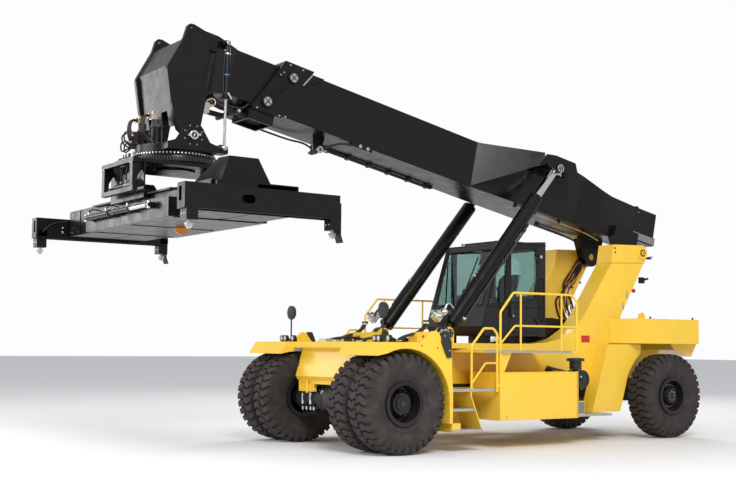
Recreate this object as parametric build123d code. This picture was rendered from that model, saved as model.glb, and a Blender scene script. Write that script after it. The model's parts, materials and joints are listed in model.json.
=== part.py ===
from build123d import *
import math
import os

os.makedirs("parts", exist_ok=True)

# Reach stacker. Millimetres, x forward from the drive axle, y to the left, z up from the ground.
# Everything is drawn in that frame, and save() moves it to the middle of the machine's length.

# ---------------------------------------------------------------- wheels and axles
TYRE_DIA = 1620
TYRE_WIDTH = 500
RIM_DIA = 635
FLANGE_HEIGHT = 42
FLANGE_WIDTH = 25
BEAD_INSET = 50
RIM_WALL = 22
TWIN_SPACING = 600
WHEELBASE = 6750
DRIVE_OUTER = 2080
STEER_OUTER = 1660
HUB_RADIUS = 200
SPINDLE_RADIUS = 90
WEB = 30
LUGS = 34
LUG_DEPTH = 45
TREAD_HALF = 214
SIDEWALL_RADIUS = 560
TYRE_SIDES = 20
AXLE_TUBE_RADIUS = 190
AXLE_BOWL_RADIUS = 255
KINGPIN_INSET = 270
KINGPIN_RADIUS = 50
KNUCKLE_RADIUS = 105
KNUCKLE_HEIGHT = 300
STEER_LUG = 85
STEER_BEAM_WIDTH = 220
STEER_BEAM_HEIGHT = 260
PIVOT_RADIUS = 70

# ---------------------------------------------------------------- chassis
DECK_TOP = 1790
BEAM_OUTER = 1000
BEAM_INNER = 590
FRONT_BEAM_OUTER = 930
BEAM_BOTTOM = 1080
FRONT_FACE = 280
NOSE_HALF = 865
NOSE_BOTTOM = 1120
NOSE_TOP_X = 150
ARCH_GAP = 70
FENDER_FRONT = 550
FENDER_REAR = 945
FENDER_LOW = 475
FENDER_PEAK = 1975
STEP_PANEL_Y = 1300
REAR_FRAME_HALF = 480
REAR_FRAME_BOTTOM = 1120
TAIL_REACH = 1030
COUNTERWEIGHT_BOTTOM = 1820
COUNTERWEIGHT_TOP = 2300
COUNTERWEIGHT_HALF = 1600
WALKWAY_TOP = 1665
WALKWAY_REAR = -3640
RAIL_TOP = 2655
HOOD_TOP = 2290
RAIL_RADIUS = 21
RAIL_BEND = 70
BOX_TOP = 1800
LUG_Y = 1150
LUG_WIDTH = 40
LUG_HOLE_Z = 2370
LUG_HOLE_RADIUS = 28
TREAD_TOP = 1030
TREAD_THICK = 40
LADDER_Y = 1560
TANK_FRONT = -1950
TANK_TOP = 1300

# ---------------------------------------------------------------- boom towers and boom foot
PIVOT_AHEAD = 170
FOOT_Z = 3620
FOOT_PIN_RADIUS = 70
TOWER_INNER = 600
TOWER_OUTER = 1000
EAR_RADIUS = 160
EAR_TOP = 3750

# ---------------------------------------------------------------- boom, in its own s (along) and n (up) axes
BOOM_ANGLE = 11.54
BOOM_HALF = 450
BOOM_BOTTOM = 237
BOOM_TOP = 1100
BOOM_PLATE = 15
FLARE_PLATE = 25
BOOM_FRONT_TOP = 8345
BOOM_FRONT_BOTTOM = 8790
COLLAR_LENGTH = 560
COLLAR_LIP = 55
CAVITY_REAR = 1000
INNER_GAP = 35
INNER_REAR = 1060
INNER_PLATE = 15
HEAD_BEND = 9200
HEAD_START = 9650
HEAD_HALF = 630
CHEEK = 75
HEAD_PIN_S = 9745
HEAD_PIN_N = -622
HEAD_PIN_RADIUS = 60
HEAD_BOSS_RADIUS = 120
HEAD_EYE_S = 10140
HEAD_EYE_N = 1030
HEAD_EYE_RADIUS = 22
WING_PLATE = 35
WING_TOP = 1190
WING_LOW = 930
WING_FRONT = 3050

# ---------------------------------------------------------------- lift cylinders
LIFT_Y = 980
LIFT_FOOT_X = -1620
LIFT_FOOT_Z = 1960
LIFT_EYE_S = 2577
LIFT_EYE_N = 974
LIFT_BARREL_RADIUS = 135
LIFT_BORE_RADIUS = 108
LIFT_ROD_RADIUS = 78
LIFT_BARREL_LENGTH = 3330
LIFT_EYE_WIDTH = 160
LIFT_PIN_RADIUS = 55
LIFT_EYE_RADIUS = 120
LIFT_PISTON = 820
LEVEL_LENGTH = 3557
LEVEL_LEAN = 51.03
RELIEF_GAP = 8

# ---------------------------------------------------------------- cab
CAB_HALF = 815
CAB_WALL = 60
CAB_AHEAD = 2430
CAB_LENGTH = 1470
CAB_BULGE = 100
CAB_LEAN = 360
CAB_FLOOR = 1930
CAB_BELT = 2440
CAB_ROOF_FRONT = 3640
CAB_ROOF = 3710
CAB_ROOF_PLATE = 50
DOOR_BACK = 550
DOOR_WIDTH = 730
DOOR_TOP = 3580
DOOR_RISE = 45
DOOR_FRAME = 55
DOOR_GAP = 6
PANE = 8
SEAT_BACK = 920
SEAT_TOP = 2470
WHEEL_BACK = 350
WHEEL_Z = 2690
HINGE_PIN_RADIUS = 7
HINGE_HEIGHTS = (2200, 3350)

# ---------------------------------------------------------------- spreader, measured from the head pin
YOKE_TOP = -135
YOKE_BOTTOM = -240
BELL_RADIUS = 200
BELL_PLATE = 35
RING_BOTTOM = -430
RING_RADIUS = 640
CARRIAGE_PLATE = 60
SLEW_HUB_RADIUS = 260
HUB_FLANGE = 25
RAIL_REACH = 760
RAIL_PLATE = 25
CARRIAGE_HALF = 640
TUBE_TOP = -960
TUBE_BOTTOM = -1385
TUBE_WALL = 16
TUBE_HALF = 2700
TUBE_OUTER = 690
TUBE_INNER = 30
END_TOP = -1080
END_BOTTOM = -1430
END_FRONT = 1245
END_REAR = -1195
END_OUTER = 3030
END_INNER = 2800
BEAM_TAIL = 2450
BEAM_PLAY = 12
LOCK_PLANE = -1586
LOCK_SPACING_X = 2259
LOCK_SPACING_Y = 5853
LOCK_PIN_RADIUS = 28
LOCK_CAP_RADIUS = 43

# ---------------------------------------------------------------- clearances
RUNNING_FIT = 0.05
SEAT_GAP = 0.3
SIDE_PLAY = 5
SWING_GAP = 20

# ---------------------------------------------------------------- derived places
TYRE_RADIUS = TYRE_DIA / 2
RIM_RADIUS = RIM_DIA / 2
HUB_Z = TYRE_RADIUS
DRIVE_TYRE_Y = DRIVE_OUTER - TYRE_WIDTH / 2
DRIVE_TYRE_INNER_Y = DRIVE_TYRE_Y - TWIN_SPACING
RAIL_Y = DRIVE_OUTER - 40
STEER_TYRE_Y = STEER_OUTER - TYRE_WIDTH / 2
KINGPIN_Y = STEER_TYRE_Y - KINGPIN_INSET
ARCH_RADIUS = TYRE_RADIUS + ARCH_GAP
FLANGE_Y = TYRE_WIDTH / 2 - BEAD_INSET


def wheel_swing(z):
    """How far a steered tyre reaches from its king pin, at a height, whichever way it is turned."""
    chord = TYRE_RADIUS**2 - (z - HUB_Z) ** 2
    return math.sqrt(max(chord, 0) + (KINGPIN_INSET + TYRE_WIDTH / 2) ** 2)


FRAME_REAR = -WHEELBASE + wheel_swing(HUB_Z) + SWING_GAP
COUNTERWEIGHT_REAR = WHEELBASE + TAIL_REACH
FOOT_X = PIVOT_AHEAD - WHEELBASE
CAB_REAR = FOOT_X + CAB_AHEAD
CAB_FRONT = CAB_REAR + CAB_LENGTH
CAB_NOSE = CAB_FRONT + CAB_BULGE
CAB_BROW = CAB_FRONT - CAB_LEAN
DOOR_FRONT = CAB_FRONT - DOOR_BACK
DOOR_REAR = DOOR_FRONT - DOOR_WIDTH
SEAT_X = CAB_FRONT - SEAT_BACK
WHEEL_X = CAB_FRONT - WHEEL_BACK
CAB_MOUNTS = (CAB_FRONT - 910, CAB_FRONT - 320)
HINGE_X = DOOR_REAR + DOOR_GAP / 2
HINGE_Y = CAB_HALF + 19
COS_BOOM = math.cos(math.radians(BOOM_ANGLE))
SIN_BOOM = math.sin(math.radians(BOOM_ANGLE))


def boom_to_world(s, n):
    """A point in the boom's own axes as (x, z) at rest."""
    return FOOT_X + s * COS_BOOM - n * SIN_BOOM, FOOT_Z + s * SIN_BOOM + n * COS_BOOM


HEAD_X, HEAD_Z = boom_to_world(HEAD_PIN_S, HEAD_PIN_N)
LIFT_EYE_X, LIFT_EYE_Z = boom_to_world(LIFT_EYE_S, LIFT_EYE_N)
MIDDLE_X = (HEAD_X + END_FRONT - COUNTERWEIGHT_REAR) / 2
BOOM_AXES = Location((FOOT_X, 0, FOOT_Z), (0, -BOOM_ANGLE, 0))
HEAD_AXES = Location((HEAD_X, 0, HEAD_Z))


# ---------------------------------------------------------------- shape helpers
def block(x, y, z):
    """A box between (low, high) pairs."""
    size = (x[1] - x[0], y[1] - y[0], z[1] - z[0])
    centre = ((x[0] + x[1]) / 2, (y[0] + y[1]) / 2, (z[0] + z[1]) / 2)
    return Pos(*centre) * Box(*size)


def side_prism(outline, y):
    """An outline of (x, z) points, from y[0] to y[1]."""
    face = make_face(Polyline([(px, y[0], pz) for px, pz in outline], close=True))
    return Part() + extrude(face, amount=y[1] - y[0], dir=(0, 1, 0))


def plan_prism(outline, z):
    """An outline of (x, y) points, from z[0] to z[1]."""
    face = make_face(Polyline([(px, py, z[0]) for px, py in outline], close=True))
    return Part() + extrude(face, amount=z[1] - z[0], dir=(0, 0, 1))


def front_prism(outline, x):
    """An outline of (y, z) points, from x[0] to x[1]."""
    face = make_face(Polyline([(x[0], py, pz) for py, pz in outline], close=True))
    return Part() + extrude(face, amount=x[1] - x[0], dir=(1, 0, 0))


def bar(start, end, radius):
    """A round bar between two points."""
    line = Vector(*end) - Vector(*start)
    plane = Plane(origin=start, z_dir=line)
    return Part() + extrude(plane * Circle(radius), amount=line.length)


def bent_bar(route, y, radius):
    """A round rail through x, z points, with its corners bent."""
    path = FilletPolyline(*[(x, y, z) for x, z in route], radius=RAIL_BEND)
    return Part() + sweep(Plane(origin=path @ 0, z_dir=path % 0) * Circle(radius), path=path)


def y_bar(x, y, z, radius):
    """A round bar along y, between a pair of y values."""
    return bar((x, y[0], z), (x, y[1], z), radius)


def arc_points(centre, radius, start, end, steps):
    """Points on an arc, angles in degrees."""
    turn = (end - start) / steps
    angles = [math.radians(start + turn * step) for step in range(steps + 1)]
    return [(centre[0] + radius * math.cos(a), centre[1] + radius * math.sin(a)) for a in angles]


def inset(points, gap):
    """A polygon drawn in by a gap all round; the points run in either sense."""
    area = sum(a[0] * b[1] - b[0] * a[1] for a, b in zip(points, points[1:] + points[:1]))
    sense = 1 if area > 0 else -1
    drawn = []
    for before, here, after in zip(points[-1:] + points[:-1], points, points[1:] + points[:1]):
        first = Vector(here[0] - before[0], here[1] - before[1]).normalized()
        second = Vector(after[0] - here[0], after[1] - here[1]).normalized()
        turn = first.X * second.Y - first.Y * second.X
        along = (1 - first.dot(second)) / turn * gap * sense
        x = here[0] - first.Y * gap * sense - first.X * along * sense
        y = here[1] + first.X * gap * sense - first.Y * along * sense
        drawn.append((x, y))
    return drawn


def ring(profile, x, y, z):
    """A section of (radius, y) points turned about a wheel's axle."""
    face = make_face(Polyline([(radius, offset, 0) for radius, offset in profile], close=True))
    turned = revolve(face, axis=Axis.Y)
    return Part() + Pos(x, y, z) * turned


def pair(*pieces):
    """Pieces on the left, and their mirror images on the right."""
    return list(pieces) + [mirror(piece, about=Plane.XZ) for piece in pieces]


def join(*pieces):
    return Part() + list(pieces)


def save(name, *pieces):
    """Write one node, moved to the middle of the machine's length."""
    solids = [solid.moved(Location((-MIDDLE_X, 0, 0))) for piece in pieces for solid in piece.solids()]
    whole = solids[0] if len(solids) == 1 else Compound(solids)
    export_step(whole, f"parts/{name}.step")


# ---------------------------------------------------------------- wheels
def polygon(radius, sides):
    """A regular polygon whose flats lie at a radius, as (x, z) points."""
    corner = radius / math.cos(math.pi / sides)
    turns = [2 * math.pi * step / sides for step in range(sides)]
    return [(corner * math.cos(turn), corner * math.sin(turn)) for turn in turns]


def lug_outline():
    """The tread seen from the side: square lugs about a ring, the first one straight down."""
    points = []
    pitch = 2 * math.pi / LUGS
    tip = TYRE_RADIUS / math.cos(pitch * 0.24)
    for lug in range(LUGS):
        middle = -math.pi / 2 + pitch * lug
        for share, radius in ((-0.32, TYRE_RADIUS - LUG_DEPTH), (-0.24, tip), (0.24, tip), (0.32, TYRE_RADIUS - LUG_DEPTH)):
            angle = middle + pitch * share
            points.append((radius * math.cos(angle), radius * math.sin(angle)))
    return points


def drum(rims):
    """A solid of flat faces through polygons; rims is a list of (y, flat radius)."""
    rings = [[(x, y, z) for x, z in polygon(radius, TYRE_SIDES)] for y, radius in rims]
    faces = [make_face(Polyline(ring, close=True)) for ring in (rings[0], rings[-1])]
    for near, far in zip(rings, rings[1:]):
        for a, b, c, d in zip(near, near[1:] + near[:1], far[1:] + far[:1], far):
            faces.append(make_face(Polyline([a, b, c, d], close=True)))
    return Part() + Solid(Shell([sketch.face() for sketch in faces]))


def tyre(x, y):
    """A tyre with its lugs, its sides and its bore in flat faces that just clear the rim."""
    half = TYRE_WIDTH / 2
    bead = FLANGE_Y - SEAT_GAP
    base = TYRE_RADIUS - LUG_DEPTH - 15
    carcass = drum([(-half, SIDEWALL_RADIUS), (-TREAD_HALF, base), (TREAD_HALF, base), (half, SIDEWALL_RADIUS)])
    tread = side_prism(lug_outline(), (-TREAD_HALF, TREAD_HALF))
    bore = side_prism(polygon(RIM_RADIUS + SEAT_GAP, TYRE_SIDES), (-half - 1, half + 1))
    lip = polygon(RIM_RADIUS + FLANGE_HEIGHT + 10, TYRE_SIDES)
    recesses = [side_prism(lip, (bead, half + 1)), side_prism(lip, (-half - 1, -bead))]
    whole = carcass + tread - bore - recesses[0] - recesses[1]
    return Pos(x, y, HUB_Z) * whole


def rim_ring(y):
    """The rim's well with a flange at each side, as (radius, y) points about a wheel's centre."""
    edge = FLANGE_Y + FLANGE_WIDTH
    flange = FLANGE_Y
    inside = RIM_RADIUS - RIM_WALL
    outside = RIM_RADIUS + FLANGE_HEIGHT
    return [
        (inside, y - edge), (outside, y - edge), (outside, y - flange), (RIM_RADIUS, y - flange),
        (RIM_RADIUS, y + flange), (outside, y + flange), (outside, y + edge), (inside, y + edge),
    ]


def disc(low_radius, high_radius, low_y, high_y):
    return [(low_radius, low_y), (high_radius, low_y), (high_radius, high_y), (low_radius, high_y)]


def drive_rims():
    """Two rims on one hub, drawn about the outer wheel's centre."""
    bore = SPINDLE_RADIUS + RUNNING_FIT
    inner_web = -TWIN_SPACING + 160
    parts = [
        ring(rim_ring(0), 0, 0, 0),
        ring(rim_ring(-TWIN_SPACING), 0, 0, 0),
        ring(disc(HUB_RADIUS - 5, RIM_RADIUS - 1, -60, -60 + WEB), 0, 0, 0),
        ring(disc(HUB_RADIUS - 5, RIM_RADIUS - 1, inner_web, inner_web + WEB), 0, 0, 0),
        ring(disc(bore, HUB_RADIUS, -TWIN_SPACING - 230, 60), 0, 0, 0),
        ring([(0, 60), (HUB_RADIUS, 60), (HUB_RADIUS - 30, 140), (0, 140)], 0, 0, 0),
    ]
    return join(*parts)


def steer_rim():
    """A rim and its hub, drawn about the wheel's centre."""
    bore = SPINDLE_RADIUS - 15 + RUNNING_FIT
    parts = [
        ring(rim_ring(0), 0, 0, 0),
        ring(disc(160, RIM_RADIUS - 1, 40, 40 + WEB), 0, 0, 0),
        ring(disc(bore, 165, -60, 120), 0, 0, 0),
        ring([(0, 120), (165, 120), (140, 175), (0, 175)], 0, 0, 0),
    ]
    return join(*parts)


def build_wheels():
    rims = Pos(0, DRIVE_TYRE_Y, HUB_Z) * drive_rims()
    tyres = [tyre(0, DRIVE_TYRE_Y), tyre(0, DRIVE_TYRE_INNER_Y)]
    rear_rim = Pos(-WHEELBASE, STEER_TYRE_Y, HUB_Z) * steer_rim()
    rear_tyre = tyre(-WHEELBASE, STEER_TYRE_Y)
    sides = [("left", lambda piece: piece), ("right", lambda piece: mirror(piece, about=Plane.XZ))]
    for side, place in sides:
        save(f"drive_rims_{side}", place(rims))
        save(f"drive_tyres_{side}", *[place(piece) for piece in tyres])
        save(f"steer_rim_{side}", place(rear_rim))
        save(f"steer_tyre_{side}", place(rear_tyre))
        save(f"knuckle_{side}", place(knuckle()))


def knuckle():
    """A steering knuckle: barrel on the kingpin, spindle for the hub, and a steering arm."""
    half = KNUCKLE_HEIGHT / 2
    spindle = SPINDLE_RADIUS - 15
    barrel = bar((-WHEELBASE, KINGPIN_Y, HUB_Z - half), (-WHEELBASE, KINGPIN_Y, HUB_Z + half), KNUCKLE_RADIUS)
    stub = y_bar(-WHEELBASE, (KINGPIN_Y, STEER_TYRE_Y + 110), HUB_Z, spindle)
    shoulder = y_bar(-WHEELBASE, (KINGPIN_Y, STEER_TYRE_Y - 70), HUB_Z, spindle + 40)
    arm = block(
        (-WHEELBASE + 60, -WHEELBASE + 330), (KINGPIN_Y - 10, KINGPIN_Y + 30), (HUB_Z - half, HUB_Z - half + 60)
    )
    pin = bar(
        (-WHEELBASE, KINGPIN_Y, HUB_Z - half - 1), (-WHEELBASE, KINGPIN_Y, HUB_Z + half + 1),
        KINGPIN_RADIUS + RUNNING_FIT,
    )
    return join(barrel, stub, shoulder, arm) - pin


# ---------------------------------------------------------------- axles
def build_axles():
    tube_end = DRIVE_TYRE_INNER_Y - 240
    tube = y_bar(0, (-tube_end, tube_end), HUB_Z, AXLE_TUBE_RADIUS)
    bowl = ring([(0, -AXLE_BOWL_RADIUS), (AXLE_BOWL_RADIUS - 50, -170), (AXLE_BOWL_RADIUS, 0),
                 (AXLE_BOWL_RADIUS - 50, 170), (0, AXLE_BOWL_RADIUS)], 0, 0, HUB_Z)
    spindles = pair(y_bar(0, (tube_end - 10, DRIVE_TYRE_Y + 40), HUB_Z, SPINDLE_RADIUS))
    carrier = block((-420, 0), (-140, 140), (HUB_Z - 120, HUB_Z + 120))
    pads = pair(block((-190, 190), (BEAM_INNER + 10, DRIVE_TYRE_INNER_Y - TYRE_WIDTH / 2 - 40),
                      (HUB_Z + 60, BEAM_BOTTOM)))
    save("drive_axle", join(tube, bowl, carrier, *spindles, *pads))

    half_width = STEER_BEAM_WIDTH / 2
    low = HUB_Z - STEER_BEAM_HEIGHT / 2
    high = HUB_Z + STEER_BEAM_HEIGHT / 2
    knuckle_half = KNUCKLE_HEIGHT / 2 + SIDE_PLAY
    end = KINGPIN_Y - KNUCKLE_RADIUS - 15
    beam = block((-WHEELBASE - half_width, -WHEELBASE + half_width), (-end, end), (low, high))
    centre = block((-WHEELBASE - 190, -WHEELBASE + 190), (-260, 260), (low - 20, high + 30))
    pivot = bar((-WHEELBASE - 395, 0, HUB_Z), (-WHEELBASE + 330, 0, HUB_Z), PIVOT_RADIUS)
    lugs = []
    for base in (HUB_Z - knuckle_half - STEER_LUG, HUB_Z + knuckle_half):
        plate = block((-WHEELBASE - 100, -WHEELBASE + 100), (end - 60, KINGPIN_Y), (base, base + STEER_LUG))
        nose = bar((-WHEELBASE, KINGPIN_Y, base), (-WHEELBASE, KINGPIN_Y, base + STEER_LUG), 100)
        lugs += [plate, nose]
    cheek = block(
        (-WHEELBASE - 100, -WHEELBASE + 100), (end - 60, end),
        (HUB_Z - knuckle_half - STEER_LUG, HUB_Z + knuckle_half + STEER_LUG),
    )
    pin = bar(
        (-WHEELBASE, KINGPIN_Y, HUB_Z - knuckle_half - STEER_LUG),
        (-WHEELBASE, KINGPIN_Y, HUB_Z + knuckle_half + STEER_LUG), KINGPIN_RADIUS,
    )
    cylinder = y_bar(-WHEELBASE - half_width - 75, (-330, 330), HUB_Z, 70)
    rod = y_bar(-WHEELBASE - half_width - 75, (-560, 560), HUB_Z, 35)
    save("steer_axle", join(beam, centre, pivot, cylinder, rod, *pair(*lugs, cheek, pin)))


# ---------------------------------------------------------------- chassis
def build_frame():
    beam = block((FRAME_REAR, -FENDER_REAR), (BEAM_INNER, BEAM_OUTER), (BEAM_BOTTOM, DECK_TOP))
    front_beam = block((-FENDER_REAR - 1, NOSE_TOP_X - 50), (BEAM_INNER, FRONT_BEAM_OUTER), (BEAM_BOTTOM, DECK_TOP))
    low_edge = NOSE_BOTTOM + 70
    nose = side_prism(
        [(FRONT_FACE - 420, 1700), (NOSE_TOP_X, 1700), (NOSE_TOP_X, 1650), (FRONT_FACE, low_edge),
         (FRONT_FACE - 45, NOSE_BOTTOM), (FRONT_FACE - 420, NOSE_BOTTOM)], (-NOSE_HALF, NOSE_HALF)
    )
    pocket_low = 925
    pocket = block((FRONT_FACE - 80, FRONT_FACE - 20), (-780, -280), (pocket_low, NOSE_BOTTOM + 1))
    mouth = block((FRONT_FACE - 60, FRONT_FACE), (-740, -320), (pocket_low + 35, NOSE_BOTTOM - 15))
    tow_pin = bar((FRONT_FACE - 40, -530, pocket_low - 25), (FRONT_FACE - 40, -530, NOSE_BOTTOM + 1), 28)
    sill = block((FRONT_FACE - 80, FRONT_FACE - 20), (-281, 520), (NOSE_BOTTOM - 60, NOSE_BOTTOM + 1))
    deck = side_prism(
        [(FRONT_FACE + 20, 1700), (240, DECK_TOP), (-1500, DECK_TOP), (-1500, DECK_TOP - 30),
         (NOSE_TOP_X, DECK_TOP - 30), (NOSE_TOP_X, 1690), (FRONT_FACE + 10, 1680)],
        (-FRONT_BEAM_OUTER, FRONT_BEAM_OUTER),
    )
    cross = [
        block((-1700, -1500), (-BEAM_INNER, BEAM_INNER), (BEAM_BOTTOM + 100, DECK_TOP)),
        block((-4500, -4300), (-BEAM_INNER, BEAM_INNER), (BEAM_BOTTOM + 100, DECK_TOP - 100)),
    ]
    for rear in CAB_MOUNTS:
        cross.append(block((rear, rear + 170), (-BEAM_INNER - 1, BEAM_INNER + 1), (DECK_TOP - 80, DECK_TOP)))
    tail = block(
        (-WHEELBASE - 850, FRAME_REAR + 100), (-REAR_FRAME_HALF, REAR_FRAME_HALF),
        (REAR_FRAME_BOTTOM, COUNTERWEIGHT_BOTTOM),
    )
    shoulder = block(
        (FRAME_REAR, FRAME_REAR + 300), (-BEAM_OUTER, BEAM_OUTER), (REAR_FRAME_BOTTOM, DECK_TOP)
    )
    hangers = []
    for x in (-WHEELBASE - 375, -WHEELBASE + 215):
        hangers.append(block((x, x + 85), (-260, 260), (HUB_Z - 130, REAR_FRAME_BOTTOM)))
    bore = bar((-WHEELBASE - 400, 0, HUB_Z), (-WHEELBASE + 340, 0, HUB_Z), PIVOT_RADIUS + RUNNING_FIT)
    panel = block((-1535, -FENDER_REAR - 1), (STEP_PANEL_Y - 25, STEP_PANEL_Y), (TREAD_TOP - TREAD_THICK, 1690))
    ledge = block((-1900, -FENDER_REAR - 1), (BEAM_OUTER - 1, STEP_PANEL_Y), (1690, DECK_TOP))
    whole = join(*pair(beam, front_beam, panel, ledge), nose, deck, *cross, tail, shoulder, *hangers)
    save("frame", join(whole, pocket - mouth, tow_pin, sill) - bore)


def build_fenders():
    arch = arc_points((0, HUB_Z), ARCH_RADIUS, 180, 66, 14)
    outline = [
        (-FENDER_REAR + 25, 1300), (-FENDER_REAR, 1000), (-FENDER_REAR, FENDER_LOW), (-ARCH_RADIUS, FENDER_LOW),
        *arch, (FENDER_FRONT, 1575), (FENDER_FRONT, 1600), (420, DECK_TOP), (-FENDER_REAR + 25, DECK_TOP),
    ]
    fender = side_prism(outline, (FRONT_BEAM_OUTER, DRIVE_OUTER))
    peak = side_prism(
        [(-300, DECK_TOP - 1), (-540, FENDER_PEAK), (-600, FENDER_PEAK), (-640, FENDER_PEAK - 30),
         (-760, DECK_TOP - 1)], (DRIVE_OUTER - 60, DRIVE_OUTER)
    )
    bracket = side_prism(
        [(-690, DECK_TOP - 1), (-690, 1980), (-800, 1980), (-885, 1800), (-885, 1545), (-800, 1545)],
        (DRIVE_OUTER, DRIVE_OUTER + 35),
    )
    save("fenders", *pair(join(fender, peak)))
    save("hose_brackets", *pair(bracket))


def build_towers():
    pivot = (FOOT_X, FOOT_Z)
    ear = arc_points(pivot, EAR_RADIUS, 75, 235, 8)
    front = [(2980, DECK_TOP), (2580, 1815), (2180, 1900), (1860, 2080), (1600, 2350), (870, 3370), (800, EAR_TOP)]
    rear = [(630, 2320), (930, DECK_TOP)]
    outline = [(FOOT_X + x, z) for x, z in front] + ear + [(FOOT_X + x, z) for x, z in rear]
    tower = side_prism(outline, (TOWER_INNER, TOWER_OUTER))
    boss = y_bar(FOOT_X, (TOWER_INNER - SIDE_PLAY + 1, TOWER_OUTER + 25), FOOT_Z, EAR_RADIUS - 35)
    pin = y_bar(FOOT_X, (TOWER_INNER - 190, TOWER_OUTER + 35), FOOT_Z, FOOT_PIN_RADIUS)
    save("boom_towers", *pair(join(tower, boss, pin)))


def build_counterweight():
    half = COUNTERWEIGHT_HALF
    rear = -COUNTERWEIGHT_REAR
    axle = -WHEELBASE
    plan = [
        (axle + 750, TOWER_OUTER + SIDE_PLAY), (axle + 1100, TOWER_OUTER + SIDE_PLAY), (axle + 730, half - 60),
        (rear + 220, half), (rear, half - 200),
    ]
    outline = plan + [(x, -y) for x, y in reversed(plan)]
    main = plan_prism(outline, (COUNTERWEIGHT_BOTTOM, COUNTERWEIGHT_TOP))
    skirt = side_prism([(axle - 250, COUNTERWEIGHT_BOTTOM), (axle - 360, 1700), (rear + 160, 1570),
                        (rear, COUNTERWEIGHT_BOTTOM)], (REAR_FRAME_HALF, half - 250))
    lug_x = axle + 350
    crown = [(lug_x + 70, LUG_HOLE_Z + 30), (lug_x, LUG_HOLE_Z + 70), (lug_x - 70, LUG_HOLE_Z + 30)]
    lugs = pair(side_prism([(lug_x + 90, COUNTERWEIGHT_TOP), *crown, (lug_x - 90, COUNTERWEIGHT_TOP)],
                           (LUG_Y - LUG_WIDTH / 2, LUG_Y + LUG_WIDTH / 2)))
    eyes = pair(y_bar(lug_x, (LUG_Y - LUG_WIDTH, LUG_Y + LUG_WIDTH), LUG_HOLE_Z, LUG_HOLE_RADIUS))
    whole = join(main, *pair(skirt), *lugs)
    for eye in eyes:
        whole = whole - eye
    save("counterweight", whole)


def build_side_boxes():
    base = 520
    rear = [(-WHEELBASE + wheel_swing(z) + SWING_GAP, z) for z in (1640, 1500, 1300, 1180)]
    outline = [(rear[0][0] + 900, BOX_TOP), (rear[0][0], BOX_TOP), *rear, (FRAME_REAR + 130, base),
               (FRAME_REAR + 880, base)]
    save("side_boxes", *pair(side_prism(outline, (BEAM_OUTER, 1300))))


def build_tanks():
    rear = TANK_FRONT - 2000
    plan = [(TANK_FRONT, DRIVE_OUTER), (rear + 200, DRIVE_OUTER), (rear, 1900), (rear, BEAM_OUTER + 10),
            (TANK_FRONT - 300, BEAM_OUTER + 10), (TANK_FRONT, 1300)]
    save("tanks", *pair(plan_prism(plan, (490, TANK_TOP))))


def build_steps():
    outer = DRIVE_OUTER - 10
    treads = [
        # front x, rear x, height
        (-FENDER_REAR - 1, -1589, 370),
        (-FENDER_REAR - 1, -1400, 710),
        (-FENDER_REAR - 1, -1844, TREAD_TOP),
    ]
    ladder = [block((rear, front), (LADDER_Y, outer), (top - TREAD_THICK, top)) for front, rear, top in treads]
    front, low_rear = treads[0][0], treads[0][1]
    slant = [(-1320, 1000), (-1330, 903), (low_rear + 20, 331), (low_rear, 331), (-1350, 903), (-1350, 1000)]
    ladder.append(side_prism(slant, (LADDER_Y, outer)))
    ladder.append(side_prism([(front, 331), (low_rear, 331), (-1350, 903), (-1350, 1000), (front, 1000)],
                             (LADDER_Y - 20, LADDER_Y)))
    ladder.append(block((-1130, front), (LADDER_Y, outer - 20), (331, FENDER_LOW)))
    ladder.append(block((-1860, -1350), (STEP_PANEL_Y, LADDER_Y), (TREAD_TOP - TREAD_THICK, TREAD_TOP)))
    walkway = block((WALKWAY_REAR, -1600), (BEAM_OUTER, outer), (WALKWAY_TOP - 35, WALKWAY_TOP))
    notch = block((-1945, -1887), (outer - 60, outer + 1), (WALKWAY_TOP - 36, WALKWAY_TOP + 1))
    strut = side_prism([(-1985, WALKWAY_TOP - 34), (-2270, WALKWAY_TOP - 34), (-2100, TANK_TOP), (-1985, TANK_TOP)],
                       (outer - 85, outer - 60))
    rail_arm = block((WALKWAY_REAR - 150, WALKWAY_REAR + 1), (outer - 60, outer), (WALKWAY_TOP - 35, WALKWAY_TOP - 5))
    running_board = block((-5000, -3950), (BEAM_OUTER, 1700), (480, 520))
    locker = block((-4300, -4020), (1350, 1700), (520, 760))
    save("steps", *pair(join(*ladder), join(walkway - notch, strut, rail_arm), join(running_board, locker)))


def build_handrails():
    thin = RAIL_RADIUS - 4
    front, rear = TANK_FRONT - 38, WALKWAY_REAR - 130
    tall = [(front, WALKWAY_TOP), (front, 2317), (-2277, RAIL_TOP), (WALKWAY_REAR, RAIL_TOP), (rear, 2540),
            (rear, WALKWAY_TOP - 5)]
    middle = [(front, 1780), (-2313, 2090), (rear, 2090)]
    low = [(-1362, TREAD_TOP), (-1362, 1739), (-1626, 2036), (-1830, 2036), (-1916, 1945), (-1916, 975)]
    brace = [(-1362, 1112), (-1662, 1456), (-1916, 1456)]
    outer = join(bent_bar(tall, RAIL_Y, RAIL_RADIUS), bent_bar(middle, RAIL_Y, thin))
    for x in (-2445, -3398):
        outer += bar((x, RAIL_Y, WALKWAY_TOP), (x, RAIL_Y, RAIL_TOP), thin)
    post = bar((front, RAIL_Y, TANK_TOP), (front, RAIL_Y, WALKWAY_TOP - 35), RAIL_RADIUS)
    clamp = block((TANK_FRONT, -1916), (RAIL_Y - 20, RAIL_Y + 20), (1060, 1110))
    inner = join(bent_bar(low, RAIL_Y, RAIL_RADIUS), bent_bar(brace, RAIL_Y, thin), clamp)
    save("handrails", *pair(outer, inner, post))


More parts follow.
